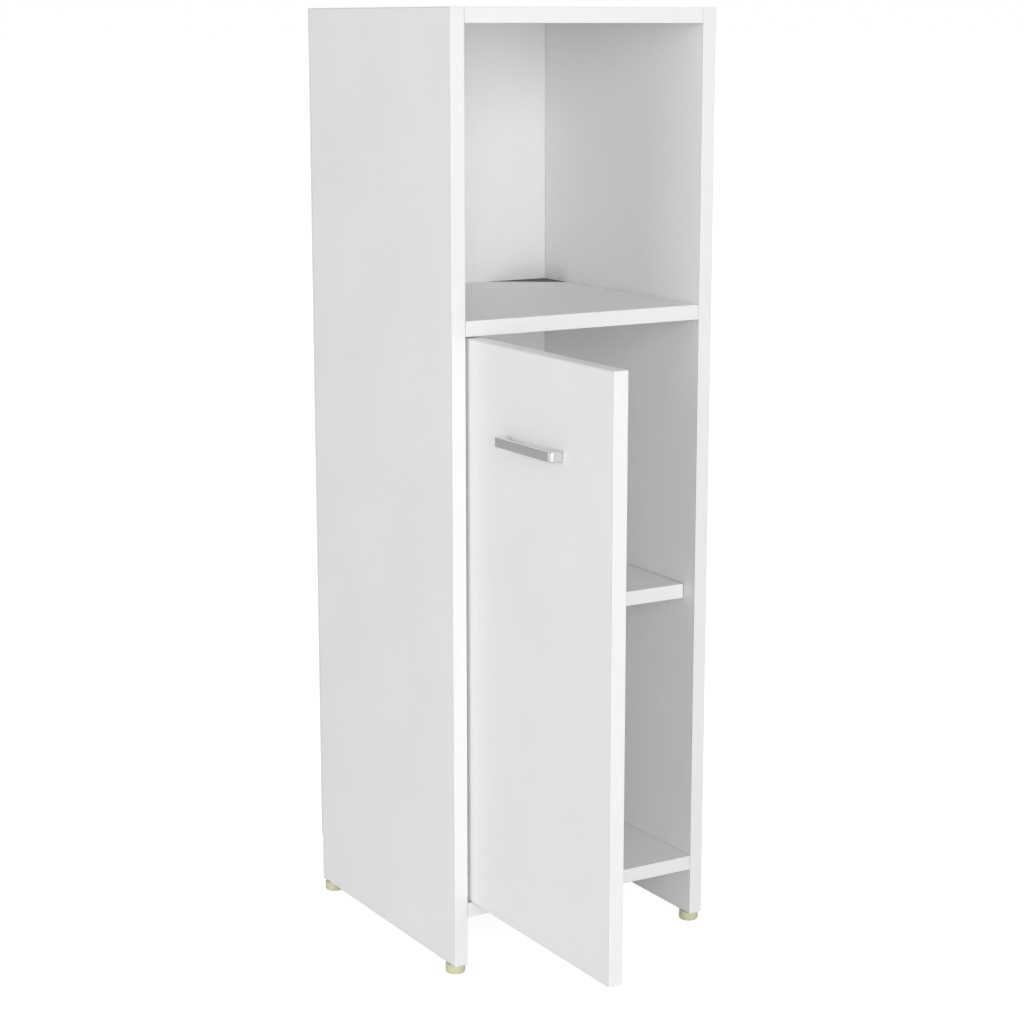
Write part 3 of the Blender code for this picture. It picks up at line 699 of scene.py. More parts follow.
def axes(x: Sequence[float], y: Sequence[float], origin: Vector) -> Matrix:
    """Matrix that puts a shape's X and Y along two directions.

    Args:
        x: Direction of the shape's X.
        y: Direction of the shape's Y.
        origin: Place of the shape's origin.

    Returns:
        The matrix, right-handed.
    """
    across, up = Vector(x), Vector(y)
    turn = Matrix((across, up, across.cross(up))).transposed().to_4x4()
    return Matrix.Translation(origin) @ turn


# ------------------------------------------------------------------- boards


@dataclass
class Board:
    """One coated board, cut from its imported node, with its edge bands.

    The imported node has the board's bores. Here its edges get a glued-on band
    behind a fine seam, and its bores and hidden ends show raw chipboard.

    Attributes:
        node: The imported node.
        name: Name of the finished piece.
        bands: Sides that carry an edge band.
        raw: Sides left as sawn.
        body: Body that the board rides on.
        band: Thickness of an edge band, in millimetres.
        seam: Width of the glue seam.
        seam_depth: Depth of the glue seam.
        skin: Depth within which a face belongs to the board's outside.
        flush: Depth within which a face lies in a raw side.
    """

    node: str
    name: str
    bands: tuple[Side, ...]
    raw: tuple[Side, ...] = ()
    body: Body = Body.CABINET
    band: float = 0.8
    seam: float = 0.3
    seam_depth: float = 0.12
    skin: float = 0.6
    flush: float = 0.05

    def cut_seam(self, shape: bmesh.types.BMesh, side: Side) -> None:
        """Cut the fine groove between a face and the band on one side.

        Args:
            shape: The board's mesh, changed in place.
            side: Side that carries the band.
        """
        low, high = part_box(self.node)
        edge = high if side.sign > 0 else low
        normal = Vector((0, 0, 0))
        normal[side.axis] = 1.0
        places = []
        for offset in (-self.seam / 2, 0.0, self.seam / 2):
            point = Vector((0, 0, 0))
            point[side.axis] = edge[side.axis] - side.sign * (self.band + offset) * MM
            geometry = [*shape.verts, *shape.edges, *shape.faces]
            bmesh.ops.bisect_plane(
                shape, geom=geometry, dist=WELD_DISTANCE, plane_co=point, plane_no=normal
            )
            places.append(point[side.axis])
        near = [v for v in shape.verts if abs(v.co[side.axis] - places[1]) < WELD_DISTANCE]
        size = high - low
        factors = [1 - 2 * self.seam_depth * MM / size[axis] for axis in range(3)]
        factors[side.axis] = 1.0
        centre = Matrix.Translation(-(low + high) / 2)
        bmesh.ops.scale(shape, vec=factors, space=centre, verts=near)

    def finish_of(self, face: bmesh.types.BMFace) -> int:
        """Number of the finish that a face takes.

        Args:
            face: A face of the board.

        Returns:
            0 for the foil, 1 for a band, 2 for a glue seam and 3 for raw board.
        """
        low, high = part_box(self.node)
        centre = face.calc_center_median()
        depths = {}
        for side in Side:
            edge = high if side.sign > 0 else low
            depths[side] = side.sign * (edge[side.axis] - centre[side.axis]) / MM
        for side in self.bands:
            if depths[side] < self.band - self.seam / 2:
                return 1
            if depths[side] < self.band + self.seam / 2:
                return 2
        if any(depths[side] < self.flush for side in self.raw):
            return 3
        return 3 if min(depths.values()) > self.skin else 0

    def build(self) -> bpy.types.Object:
        """Make the board.

        Returns:
            The finished piece.
        """
        shape = bmesh.new()
        shape.from_mesh(bpy.data.objects[self.node].data)
        bmesh.ops.remove_doubles(shape, verts=shape.verts, dist=WELD_DISTANCE)
        for side in self.bands:
            self.cut_seam(shape, side)
        for face in shape.faces:
            face.material_index = self.finish_of(face)
        finishes = (MELAMINE, EDGE_BAND, GLUE_LINE, CHIPBOARD)
        return deliver(
            self.name, shape, finishes, self.body, self.node, smooth=50
        )


@dataclass
class Carcass:
    """The boards of the cabinet and its door.

    Attributes:
        nail_spacing: Greatest distance between two nails of the back, in mm.
        nail_inset: Distance from the back's edge to its nails.
        nail_head: Radius of a nail's head.
        nail_shank: Radius of a nail's shank.
        nail_length: Length of a nail.
        nail_play: Room round a nail in the back.
    """

    nail_spacing: float = 110.0
    nail_inset: float = 7.0
    nail_head: float = 1.6
    nail_shank: float = 0.6
    nail_length: float = 12.0
    nail_play: float = 0.05

    def boards(self) -> list[Board]:
        """The coated boards with their banded and raw sides."""
        ends = (Side.LEFT, Side.RIGHT)
        all_round = (Side.FRONT, Side.BACK, Side.ABOVE, Side.BELOW)
        flat_raw = (*ends, Side.BACK)
        return [
            Board("left_side_panel", "left_side_board", all_round),
            Board("right_side_panel", "right_side_board", all_round),
            Board("top_panel", "top_board", (Side.FRONT,), flat_raw),
            Board("bottom_panel", "bottom_board", (Side.FRONT,), flat_raw),
            Board("fixed_shelf", "fixed_shelf_board", (Side.FRONT,), flat_raw),
            Board("loose_shelf", "loose_shelf_board", (Side.FRONT, Side.BACK), ends),
            Board("door_panel", "door_board", all_round, (), Body.DOOR),
        ]

    def nail_places(self) -> list[Vector]:
        """Places of the nails' heads on the back's rear face.

        Returns:
            Points spread evenly up both sides and along the fixed boards.
        """
        low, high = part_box("back_panel")
        inset = self.nail_inset * MM
        places = []
        rows = [middle_of(node).z for node in ("bottom_panel", "fixed_shelf", "top_panel")]
        for x in (low.x + inset, high.x - inset):
            for start, end in zip(rows, rows[1:]):
                count = math.ceil((end - start) / (self.nail_spacing * MM))
                heights = [start + (end - start) * step / count for step in range(count)]
                places += [Vector((x, high.y, z)) for z in heights]
            places.append(Vector((x, high.y, rows[-1])))
        across = math.ceil((high.x - low.x) / (self.nail_spacing * MM))
        for z in rows:
            for step in range(1, across):
                x = low.x + (high.x - low.x) * step / across
                places.append(Vector((x, high.y, z)))
        return places

    def nail(self, play: float = 0.0) -> bmesh.types.BMesh:
        """A flat-headed nail that points along -Z, with its head's top at 0.

        Args:
            play: Extra room all round, for the hole that it sits in.

        Returns:
            The nail, or the shape of its hole.
        """
        head, shank = self.nail_head + play, self.nail_shank + play
        above = 0.2 if play else 0.0
        profile = [
            (0, above),
            (head - 0.15, above),
            (head, above - 0.15),
            (head, -0.45 - play),
            (shank, -0.9 - play),
            (shank, 1.5 - self.nail_length),
            (0, -self.nail_length),
        ]
        return lathe(profile, 12)

    def build(self) -> None:
        """Make every board, the thin back and its nails."""
        for board in self.boards():
            board.build()
        holes, nails = [], []
        for place in self.nail_places():
            turn = axes((1, 0, 0), (0, 0, -1), place)
            holes.append(placed(self.nail(self.nail_play), turn))
            nails.append(placed(self.nail(), turn))
        low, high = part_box("back_panel")
        sheet = block(low, high)
        soften(sheet, 0.25, 2)
        sheet = carve(sheet, gather(holes))
        for face in sheet.faces:
            face.material_index = int(face.calc_center_median().y > high.y - 0.1 * MM)
        finishes = (PAINTED_HARDBOARD, SCREEN_HARDBOARD)
        deliver("back_sheet", sheet, finishes, Body.CABINET, "back_panel", 30)
        deliver("back_nails", gather(nails), (ZINC,), Body.CABINET)


# ----------------------------------------------------------------- fittings


@dataclass
class Thread:
    """A helical ridge round a shank, along Z, in millimetres.

    Attributes:
        radius: Radius of the shank.
        crest: Height of the ridge.
        pitch: Distance from turn to turn.
        steps: Facets in one turn.
    """

    radius: float
    crest: float = 0.35
    pitch: float = 1.2
    steps: int = 16

    def build(self, low: float, high: float) -> bmesh.types.BMesh:
        """Wind the ridge between two heights.

        Args:
            low: Height of its lower end.
            high: Height of its upper end.

        Returns:
            The closed ridge.
        """
        turns = (high - low) / self.pitch
        shape = bmesh.new()
        root = self.radius - 0.1
        section = ((root, -0.4), (self.radius + self.crest, 0.0), (root, 0.4))
        corners = [
            shape.verts.new((radius * MM, 0, (low + height * self.pitch) * MM))
            for radius, height in section
        ]
        face = shape.faces.new(corners)
        count = max(int(turns * self.steps), 1)
        bmesh.ops.spin(
            shape,
            geom=[*corners, *face.edges, face],
            cent=(0, 0, 0),
            axis=(0, 0, 1),
            dvec=(0, 0, self.pitch * MM / self.steps),
            angle=FULL_TURN * count / self.steps,
            steps=count,
            use_merge=False,
            use_normal_flip=False,
            use_duplicate=False,
        )
        bmesh.ops.recalc_face_normals(shape, faces=shape.faces)
        return shape


@dataclass(frozen=True)
class Screw:
    """A pan-head or cheese-head screw with a cross recess, along Z.

    The head's seat is at height 0 and the point is below it.

    Attributes:
        head_radius: Radius of the head.
        head: Height of the head.
        radius: Radius of the shank.
        length: Length below the head.
        point: Length of the point, or 0 for a flat end.
        domed: Whether the head is a pan, or else a cheese head.
        recess: Span of the cross recess.
    """

    head_radius: float = 3.2
    head: float = 1.8
    radius: float = 1.5
    length: float = 11.5
    point: float = 3.0
    domed: bool = True
    recess: float = 3.4

    @functools.cache
    def master(self) -> bmesh.types.BMesh:
        """Make the screw, once for all screws of this size.

        Returns:
            The head and shank with their recess, and the thread as a shell.
        """
        top, rim = self.head, self.head_radius
        if self.domed:
            profile = [(0.0, top)]
            for step in range(1, 7):
                lean = math.radians(15 * step)
                profile.append((rim * math.sin(lean), 0.45 * top + 0.55 * top * math.cos(lean)))
        else:
            profile = [(0.0, top), (rim - 0.3, top), (rim, top - 0.3)]
        core = self.radius - (0.4 if self.point else 0.25)
        profile += [(rim, 0.15), (rim - 0.15, 0.0), (self.radius, 0.0), (self.radius, -1.2)]
        profile += [(core, -1.6), (core, self.point - self.length), (0.0, -self.length)]
        body = lathe(profile, 32)
        for turned in (0, 90):
            half = Vector((self.recess / 2, 0.38, 0)) * MM
            slot = block(-half, half + Vector((0, 0, top * 1.2 * MM)))
            deep = [v for v in slot.verts if v.co.z < top * 0.5 * MM]
            bmesh.ops.translate(slot, vec=(0, 0, 0.35 * top * MM), verts=deep)
            bmesh.ops.scale(slot, vec=(0.55, 0.7, 1), verts=deep)
            spin = Matrix.Rotation(math.radians(turned + 20), 4, "Z")
            body = carve(body, placed(slot, spin))
        ridge = Thread(core, self.radius - core, 1.1 if self.point else 0.7)
        thread = ridge.build(self.point - self.length, -2.0)
        return gather([body, thread])

    def build(self) -> bmesh.types.BMesh:
        """A copy of the screw, to be put in place."""
        return self.master().copy()


@dataclass(frozen=True)
class Fittings:
    """Feet, shelf pins, dowels and cam fittings.

    Attributes:
        foot_radius: Radius of a foot.
        foot_puck: Height of a foot's puck, below its stem.
        foot_stem: Radius of a foot's stem.
        pin_radius: Radius of a shelf pin.
        pin_reach: Length of a shelf pin outside the side.
        flutes: Number of flutes round a dowel.
        cam_radius: Radius of a cam.
        bolt_radius: Radius of a cam bolt's smooth shank.
        bolt_height: Height of the bolt's middle above the cam's lower face.
        bolt_thread: Length of the bolt's thread in the side.
    """

    foot_radius: float = 10.0
    foot_puck: float = 9.7
    foot_stem: float = 2.5
    pin_radius: float = 2.5
    pin_reach: float = 7.0
    flutes: int = 20
    cam_radius: float = 7.5
    bolt_radius: float = 3.0
    bolt_height: float = 7.2
    bolt_thread: float = 10.5

    def foot(self, node: str) -> None:
        """A moulded foot: a slightly drafted puck on a barbed stem."""
        low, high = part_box(node)
        total = (high.z - low.z) / MM
        radius, stem, puck = self.foot_radius, self.foot_stem, self.foot_puck
        profile = [(0.0, total), (stem - 0.9, total), (stem - 0.3, total - 1.2)]
        for barb in range(4):
            top = total - 2.0 - 2.6 * barb
            profile += [(stem, top), (stem, top - 0.5), (stem - 0.45, top - 1.4)]
        profile += [(stem - 0.3, puck + 0.4), (stem, puck)]
        profile += arc((radius - 0.5, puck - 0.5), 0.5, 90, 0, 4)
        profile += arc((radius - 2.2, 2.2), 2.2, 0, -90, 8)
        profile += [(radius - 3.6, 0.0), (radius - 3.9, 0.5), (1.6, 0.5), (1.3, 0.2), (0.0, 0.2)]
        shape = placed(lathe(profile), Matrix.Translation((*middle_of(node).xy, low.z)))
        name = node.replace("foot", "moulded_foot")
        deliver(name, shape, (FOOT_PLASTIC,), Body.CABINET, node, 50)

    def shelf_pin(self, node: str) -> None:
        """A turned pin with a groove at the side's face and chamfered ends."""
        low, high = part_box(node)
        left = "left" in node
        length = (high.x - low.x) / MM
        inside = length - self.pin_reach
        radius = self.pin_radius
        profile = [(0.0, self.pin_reach), *arc((radius - 0.8, self.pin_reach - 0.8), 0.8, 90, 0)]
        profile += [(radius, 0.6), (radius - 0.25, 0.3), (radius - 0.25, 0.0), (radius, -0.3)]
        profile += [(radius, 0.7 - inside), (radius - 0.7, -inside), (0.0, -inside)]
        face = low.x + inside * MM if left else high.x - inside * MM
        middle = middle_of(node)
        out = 1 if left else -1
        turn = axes((0, 1, 0), (0, 0, out), Vector((face, middle.y, middle.z)))
        shape = placed(lathe(profile, 40), turn)
        name = node.replace("shelf_pin", "turned_shelf_pin")
        deliver(name, shape, (ZINC,), Body.CABINET, node)

    def dowel(self, node: str) -> None:
        """A fluted dowel with chamfered ends."""
        low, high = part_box(node)
        radius = (high.z - low.z) / 2
        middle = middle_of(node)
        ends = (Vector((low.x, middle.y, middle.z)), Vector((high.x, middle.y, middle.z)))
        shape = rod(*ends, radius, 4 * self.flutes)
        bmesh.ops.translate(shape, vec=-middle, verts=shape.verts)
        valleys = []
        for vert in shape.verts:
            turn = math.atan2(vert.co.z, vert.co.y) / FULL_TURN * 4 * self.flutes
            if round(turn) % 4 == 0:
                valleys.append(vert)
        bmesh.ops.scale(shape, vec=(1, 0.92, 0.92), verts=valleys)
        caps = [edge for edge in shape.edges if any(len(f.verts) > 4 for f in edge.link_faces)]
        bmesh.ops.bevel(
            shape,
            geom=caps,
            offset=0.7 * MM,
            affect="EDGES",
            segments=2,
            profile=0.5,
            material=-1,
        )
        bmesh.ops.translate(shape, vec=middle, verts=shape.verts)
        name = node.replace("dowel", "fluted_dowel")
        deliver(name, shape, (BEECH,), Body.CABINET, node, 25)

    @functools.cache
    def drum(self, height: float) -> bmesh.types.BMesh:
        """A die-cast cam drum with its cross slot and arrow dot.

        Args:
            height: Height of the drum, in millimetres.

        Returns:
            The drum, standing at the origin, made once for all fittings.
        """
        radius = self.cam_radius
        profile = [(0.0, height), *arc((radius - 0.6, height - 0.6), 0.6, 90, 0, 4)]
        profile += [(radius, 1.2), (radius - 0.3, 0.9), (radius - 0.3, 0.7), (radius, 0.5)]
        profile += [(radius, 0.25), (radius - 0.25, 0.0), (0.0, 0.0)]
        drum = lathe(profile, 48)
        for turned in (0, 90):
            slot = block(Vector((-3.4, -0.6, -0.5)) * MM, Vector((3.4, 0.6, 2.6)) * MM)
            deep = [v for v in slot.verts if v.co.z > MM]
            bmesh.ops.scale(slot, vec=(0.6, 0.7, 1), verts=deep)
            drum = carve(drum, placed(slot, Matrix.Rotation(math.radians(turned), 4, "Z")))
        dot = block(Vector((4.6, -0.5, -0.5)) * MM, Vector((6.2, 0.5, 0.35)) * MM)
        return carve(drum, dot)

    def cam(self, node: str) -> None:
        """A cam drum and the bolt that it pulls."""
        low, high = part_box(node)
        left = "left" in node
        radius = self.cam_radius
        drum = self.drum(round((high.z - low.z) / MM, 3)).copy()
        span = (high.x - low.x) / MM - radius
        neck = span - self.bolt_thread
        bolt = self.bolt_radius
        core = bolt - 0.9
        profile = [(0.0, 3.0), (bolt, 3.0), (bolt, neck - 1.0), (bolt - 0.5, neck - 0.5)]
        profile += [(core, neck), (core, span - 1.0), (core - 0.8, span), (0.0, span)]
        shank = lathe(profile, 32)
        ridge = Thread(core, 0.4, 1.5).build(neck + 0.8, span - 1.0)
        out = -1 if left else 1
        lie = axes((0, 1, 0), (0, 0, out), Vector((0, 0, self.bolt_height * MM)))
        centre_x = high.x - radius * MM if left else low.x + radius * MM
        whole = gather([drum, placed(shank, lie), placed(ridge, lie)])
        place = Matrix.Translation((centre_x, (low.y + high.y) / 2, low.z))
        name = node.replace("cam_", "cam_fitting_")
        deliver(name, placed(whole, place), (CAST_ZINC,), Body.CABINET, node)

    def corner_cap(self, node: str) -> None:
        """The moulded cap on the fixed shelf's cut corner, open below.

        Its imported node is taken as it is, and its outer edges are rounded.

        Args:
            node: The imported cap.
        """
        shape = bmesh.new()
        shape.from_mesh(bpy.data.objects[node].data)
        bmesh.ops.remove_doubles(shape, verts=shape.verts, dist=WELD_DISTANCE)
        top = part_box(node)[1].z

        def rim(edge: bmesh.types.BMEdge) -> bool:
            """Whether an edge runs round the cap's upper face."""
            return all(abs(v.co.z - top) < WELD_DISTANCE for v in edge.verts)

        soften(shape, 0.4, 3, rim)
        name = "moulded_corner_cap"
        # The cap's dark grey finish is painted shade, put where the shelf's cut corner lies in
        # shadow.
        deliver(name, shape, (SHADE_GREY_CAP_PLASTIC,), Body.CABINET, node, 35)

    def cap_screw(self, node: str) -> None:
        """The screw from inside the cap into the shelf's cut edge.

        Args:
            node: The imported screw.
        """
        low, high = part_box("shelf_corner_cap")
        across = Vector((high.y - low.y, high.x - low.x, 0)).normalized()
        screw = Screw()
        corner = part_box(node)[1]
        tip = Vector((corner.x, corner.y, middle_of(node).z))
        lean = Vector((across.y, across.x, 0)) * screw.head_radius
        seat = tip - (lean + across * screw.head) * MM
        turn = axes((-across.y, across.x, 0), (0, 0, 1), seat)
        shape = placed(screw.build(), turn)
        deliver("cap_screw_threaded", shape, (ZINC,), Body.CABINET, node)

    def build(self, nodes: Iterable[str]) -> None:
        """Make every fitting whose node is among the given ones.

        Args:
            nodes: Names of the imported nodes.
        """
        makers = {
            "foot_": self.foot,
            "shelf_pin_": self.shelf_pin,
            "dowel_": self.dowel,
            "cam_": self.cam,
            "shelf_corner_cap": self.corner_cap,
            "cap_screw": self.cap_screw,
        }
        for node in sorted(nodes):
            for start, maker in makers.items():
                if node.startswith(start):
                    maker(node)


# --------------------------------------------------------- handle and hinges


@dataclass
class Handle:
    """The chromed bar handle and its two screws, in millimetres.

    Attributes:
        leg: Length of each leg along the bar.
        grip: Thickness of the bar.
        corner: Radius of the outer corners.
        throat: Radius of the inner corners.
        rounding: Width of the rounded edges.
        tap: Radius of the threaded holes.
        tap_depth: Depth of the threaded holes.
    """

    leg: float = 12.0
    grip: float = 5.0
    corner: float = 5.0
    throat: float = 3.0
    rounding: float = 1.2
    tap: float = 2.3
    tap_depth: float = 7.3

    def build(self) -> None:
        """Make the handle from its outline and put its screws in."""
        low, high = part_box("door_handle")
        length, height = (high.y - low.y) / MM, (high.z - low.z) / MM
        reach = (high.x - low.x) / MM
        half = length / 2
        outer, inner = half - self.corner, half - self.leg - self.throat
        hollow = reach - self.grip - self.throat
        outline = [(-half, 0.0)]
        outline += arc((-outer, reach - self.corner), self.corner, 180, 90, 12)
        outline += arc((outer, reach - self.corner), self.corner, 90, 0, 12)
        outline += [(half, 0.0), (half - self.leg, 0.0)]
        outline += arc((inner, hollow), self.throat, 0, 90)
        outline += arc((-inner, hollow), self.throat, 90, 180)
        outline.append((self.leg - half, 0.0))
        bar = slab(outline, -height / 2, height / 2)

        def rim(edge: bmesh.types.BMEdge) -> bool:
            """Whether an edge lies on the bar's upper or lower face."""
            return all(abs(abs(v.co.z) - height / 2 * MM) < WELD_DISTANCE for v in edge.verts)

        soften(bar, self.rounding, 5, rim)
        middle = middle_of("door_handle")
        for screw in ("handle_screw_1", "handle_screw_2"):
            along = middle.y - middle_of(screw).y
            start, end = Vector((along, -MM, 0)), Vector((along, self.tap_depth * MM, 0))
            bar = carve(bar, rod(start, end, self.tap * MM, 24))
            self.build_screw(screw)
        turn = axes((0, -1, 0), (-1, 0, 0), Vector((high.x, middle.y, middle.z)))
        bar = placed(bar, turn)
        deliver("bar_handle", bar, (CHROME,), Body.DOOR, "door_handle", 30)

    def build_screw(self, node: str) -> None:
        """A machine screw from the door's inside into the handle's leg.

        Args:
            node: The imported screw.
        """
        low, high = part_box(node)
        screw = Screw(4.0, 2.4, 2.0, (high.x - low.x) / MM - 2.4, 0.0, True, 4.4)
        middle = middle_of(node)
        seat = Vector((high.x - screw.head * MM, middle.y, middle.z))
        turn = axes((0, -1, 0), (0, 0, -1), seat)
        shape = placed(screw.build(), turn)
        deliver(f"{node}_threaded", shape, (ZINC,), Body.DOOR, node)


@dataclass
class Hinge:
    """One concealed hinge, in millimetres.

    Attributes:
        key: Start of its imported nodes' names.
        wall: Sheet thickness of the cup.
        rim: Width of the cup's rim outside its bore.
        flange: Thickness of the rim.
        wing_offset: Distance from the cup's middle to the wings' middle.
        wing_spread: Distance from the cup's middle to each wing's screw.
        wing_half: Half width of a wing.
        ear_inner: Distance from the middle to an ear's inner face.
        ear_outer: Distance from the middle to an ear's outer face.
        ear_before: Reach of an ear before the pin.
        ear_past: Reach of an ear past the pin.
        ear_height: Height of an ear above the cup's floor.
        pin: Radius of the pin.
        pin_play: Room round the pin.
        knuckle: Radius of the arm's knuckle.
        sheet: Sheet thickness of the arm and the plate.
        neck: Distance from the pin to the middle of the arm's neck.
        crank: Distance from the pin to the middle of the arm's crank.
        bend: Radius of the arm's bends, at the middle of the sheet.
        plate_half: Half width of the plate's cross.
        tail_half: Half width of the plate's tail.
    """

    key: str
    wall: float = 0.8
    rim: float = 0.9
    flange: float = 1.0
    wing_offset: float = 6.3
    wing_spread: float = 24.0
    wing_half: float = 6.0
    ear_inner: float = 5.5
    ear_outer: float = 8.1
    ear_before: float = 1.7
    ear_past: float = 2.7
    ear_height: float = 5.0
    pin: float = 1.1
    pin_play: float = 0.3
    knuckle: float = 2.1
    sheet: float = 1.8
    neck: float = 13.1
    crank: float = 14.18
    bend: float = 2.4
    plate_half: float = 7.0
    tail_half: float = 6.5

    def node(self, part: str) -> str:
        """Name of one of the hinge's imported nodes."""
        return f"{self.key}_{part}"

    def pivot(self) -> Vector:
        """Middle of the hinge pin."""
        return middle_of(self.node("hinge_pin"))

    def cup_profile(self, radius: float, depth: float) -> Outline:
        """Half section of the drawn cup, from its floor round to its outside.

        Args:
            radius: Outer radius of the cup.
            depth: Depth from the rim's face to the cup's underside.

        Returns:
            Points of (radius, height), with the rim's face at height 0.
        """
        inner, floor = radius - self.wall, self.wall - depth
        edge = radius + self.rim
        points = [(0.0, floor), *arc((inner - 1.2, floor + 1.2), 1.2, -90, 0, 5)]
        points += arc((inner + 0.5, -0.5), 0.5, 180, 90, 4)
        points += arc((edge - 0.4, -0.4), 0.4, 90, 0, 4)
        points += [(edge, -self.flange), (radius, -self.flange)]
        points += arc((radius - 1.6, 1.6 - depth), 1.6, 0, -90, 6)
        return [*points, (0.0, -depth)]

    def build_cup(self) -> None:
        """The drawn cup with its rim, two screw wings and two ears."""
        node = self.node("hinge_cup")
        low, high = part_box(node)
        middle = middle_of(node)
        radius, depth = (high.y - low.y) / 2 / MM - self.rim, (high.x - low.x) / MM
        cup = lathe(self.cup_profile(radius, depth), 96)
        at, reach, half = self.wing_offset, self.wing_spread, self.wing_half
        outline = arc((at, reach), half, 0, 180, 16) + arc((at, -reach), half, 180, 360, 16)
        wings = slab(outline, -0.9 * self.flange, -0.1 * self.flange)
        soften(wings, 0.2, 2)
        cup = carve(cup, wings, "UNION")
        mouth = Vector((0, 0, -self.flange * MM)), Vector((0, 0, MM))
        cup = carve(cup, rod(*mouth, (radius - self.wall + 0.1) * MM, 96))
        for sign in (-1, 1):
            hole = Vector((at, sign * reach, -3)) * MM, Vector((at, sign * reach, 3)) * MM
            cup = carve(cup, rod(*hole, 1.8 * MM, 24))
        pivot = self.pivot()
        across = (middle.y - pivot.y) / MM
        rise = (pivot.x - high.x) / MM
        floor = self.wall - depth
        for sign in (-1, 1):
            ends = sorted((sign * self.ear_inner, sign * self.ear_outer))
            near = Vector((across - self.ear_before, ends[0], floor - self.wall / 2)) * MM
            far = Vector((across + self.ear_past, ends[1], floor + self.ear_height)) * MM
            ear = block(near, far)
            soften(ear, 0.5, 3)
            cup = carve(cup, ear, "UNION")
        reach = self.ear_outer - 0.4
        bore = Vector((across, -reach, rise)) * MM, Vector((across, reach, rise)) * MM
        cup = carve(cup, rod(*bore, (self.pin + self.pin_play) * MM, 32))
        turn = axes((0, -1, 0), (0, 0, -1), Vector((high.x, middle.y, middle.z)))
        shape = placed(cup, turn)
        deliver(f"{self.key}_drawn_cup", shape, (NICKEL,), Body.DOOR, node, 35)

    def build_pin(self) -> None:
        """The riveted pin, with its ends slightly rounded."""
        node = self.node("hinge_pin")
        low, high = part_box(node)
        half = (high.z - low.z) / 2 / MM
        profile = [(0.0, half), *arc((self.pin - 0.4, half - 0.4), 0.4, 90, 0, 4)]
        profile += [*arc((self.pin - 0.4, 0.4 - half), 0.4, 0, -90, 4), (0.0, -half)]
        shape = placed(lathe(profile, 32), Matrix.Translation(self.pivot()))
        deliver(f"{self.key}_pivot_pin", shape, (ZINC,), Body.DOOR, node)

    def build_spring(self) -> None:
        """The flat closing spring, with rounded corners."""
        node = self.node("hinge_spring")
        low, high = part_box(node)
        shape = block(low, high)
        thin = min(high - low)

        def corner(edge: bmesh.types.BMEdge) -> bool:
            """Whether an edge runs through the sheet's thickness."""
            return abs((edge.verts[0].co - edge.verts[1].co).length - thin) < WELD_DISTANCE

        soften(shape, 1.5, 6, corner)
        soften(shape, 0.12, 2)
        name = f"{self.key}_leaf_spring"
        deliver(name, shape, (SPRING_STEEL,), Body.DOOR, node)

    def arm_line(self) -> list[Vector]:
        """Middle line of the arm from the pin to its end, in the cabinet's XY.

        Returns:
            Points in millimetres, with each bend as an arc.
        """
        low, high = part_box(self.node("hinge_arm"))
        pivot = self.pivot().xy / MM
        flat = low.x / MM + self.sheet / 2
        neck, crank = pivot.x + self.neck, pivot.y + self.crank
        corners = [pivot, Vector((neck, pivot.y)), Vector((neck, crank))]
        corners += [Vector((flat, crank)), Vector((flat, high.y / MM))]
        line = [corners[0]]
        for before, corner, after in zip(corners, corners[1:], corners[2:]):
            back, ahead = (before - corner).normalized(), (after - corner).normalized()
            centre = corner + (back + ahead) * self.bend
            first, last = -ahead * self.bend, -back * self.bend
            for step in range(9):
                angle = math.radians(90 * step / 8)
                line.append(centre + first * math.cos(angle) + last * math.sin(angle))
        return [*line, corners[-1]]

    def build_arm(self) -> None:
        """The cranked arm: a strip round its line, with a rolled knuckle."""
        node = self.node("hinge_arm")
        low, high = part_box(node)
        line = self.arm_line()
        left, right = [], []
        for index, point in enumerate(line):
            along = line[min(index + 1, len(line) - 1)] - line[max(index - 1, 0)]
            side = Vector((-along.y, along.x)).normalized() * self.sheet / 2
            left.append(tuple(point + side))
            right.append(tuple(point - side))
        arm = slab(right + left[::-1], low.z / MM, high.z / MM)
        soften(arm, 0.25, 2, lambda edge: abs(edge.verts[0].co.z - edge.verts[1].co.z) < MM)
        pivot = self.pivot()
        bottom, top = Vector((*pivot.xy, low.z)), Vector((*pivot.xy, high.z))
        roll = rod(bottom, top, self.knuckle * MM, 48)
        soften(roll, 0.2, 2)
        arm = carve(arm, roll, "UNION")
        past = Vector((0, 0, MM))
        arm = carve(arm, rod(bottom - past, top + past, (self.pin + self.pin_play) * MM, 32))
        screw = middle_of(self.node("arm_screw"))
        through = Vector((4 * MM, 0, 0))
        ends = Vector((low.x, screw.y, screw.z)) - through, Vector((low.x, screw.y, screw.z))
        arm = carve(arm, rod(ends[0], ends[1] + through, 2.2 * MM, 32))
        name = f"{self.key}_cranked_arm"
        deliver(name, arm, (NICKEL,), Body.CABINET, node, 35)

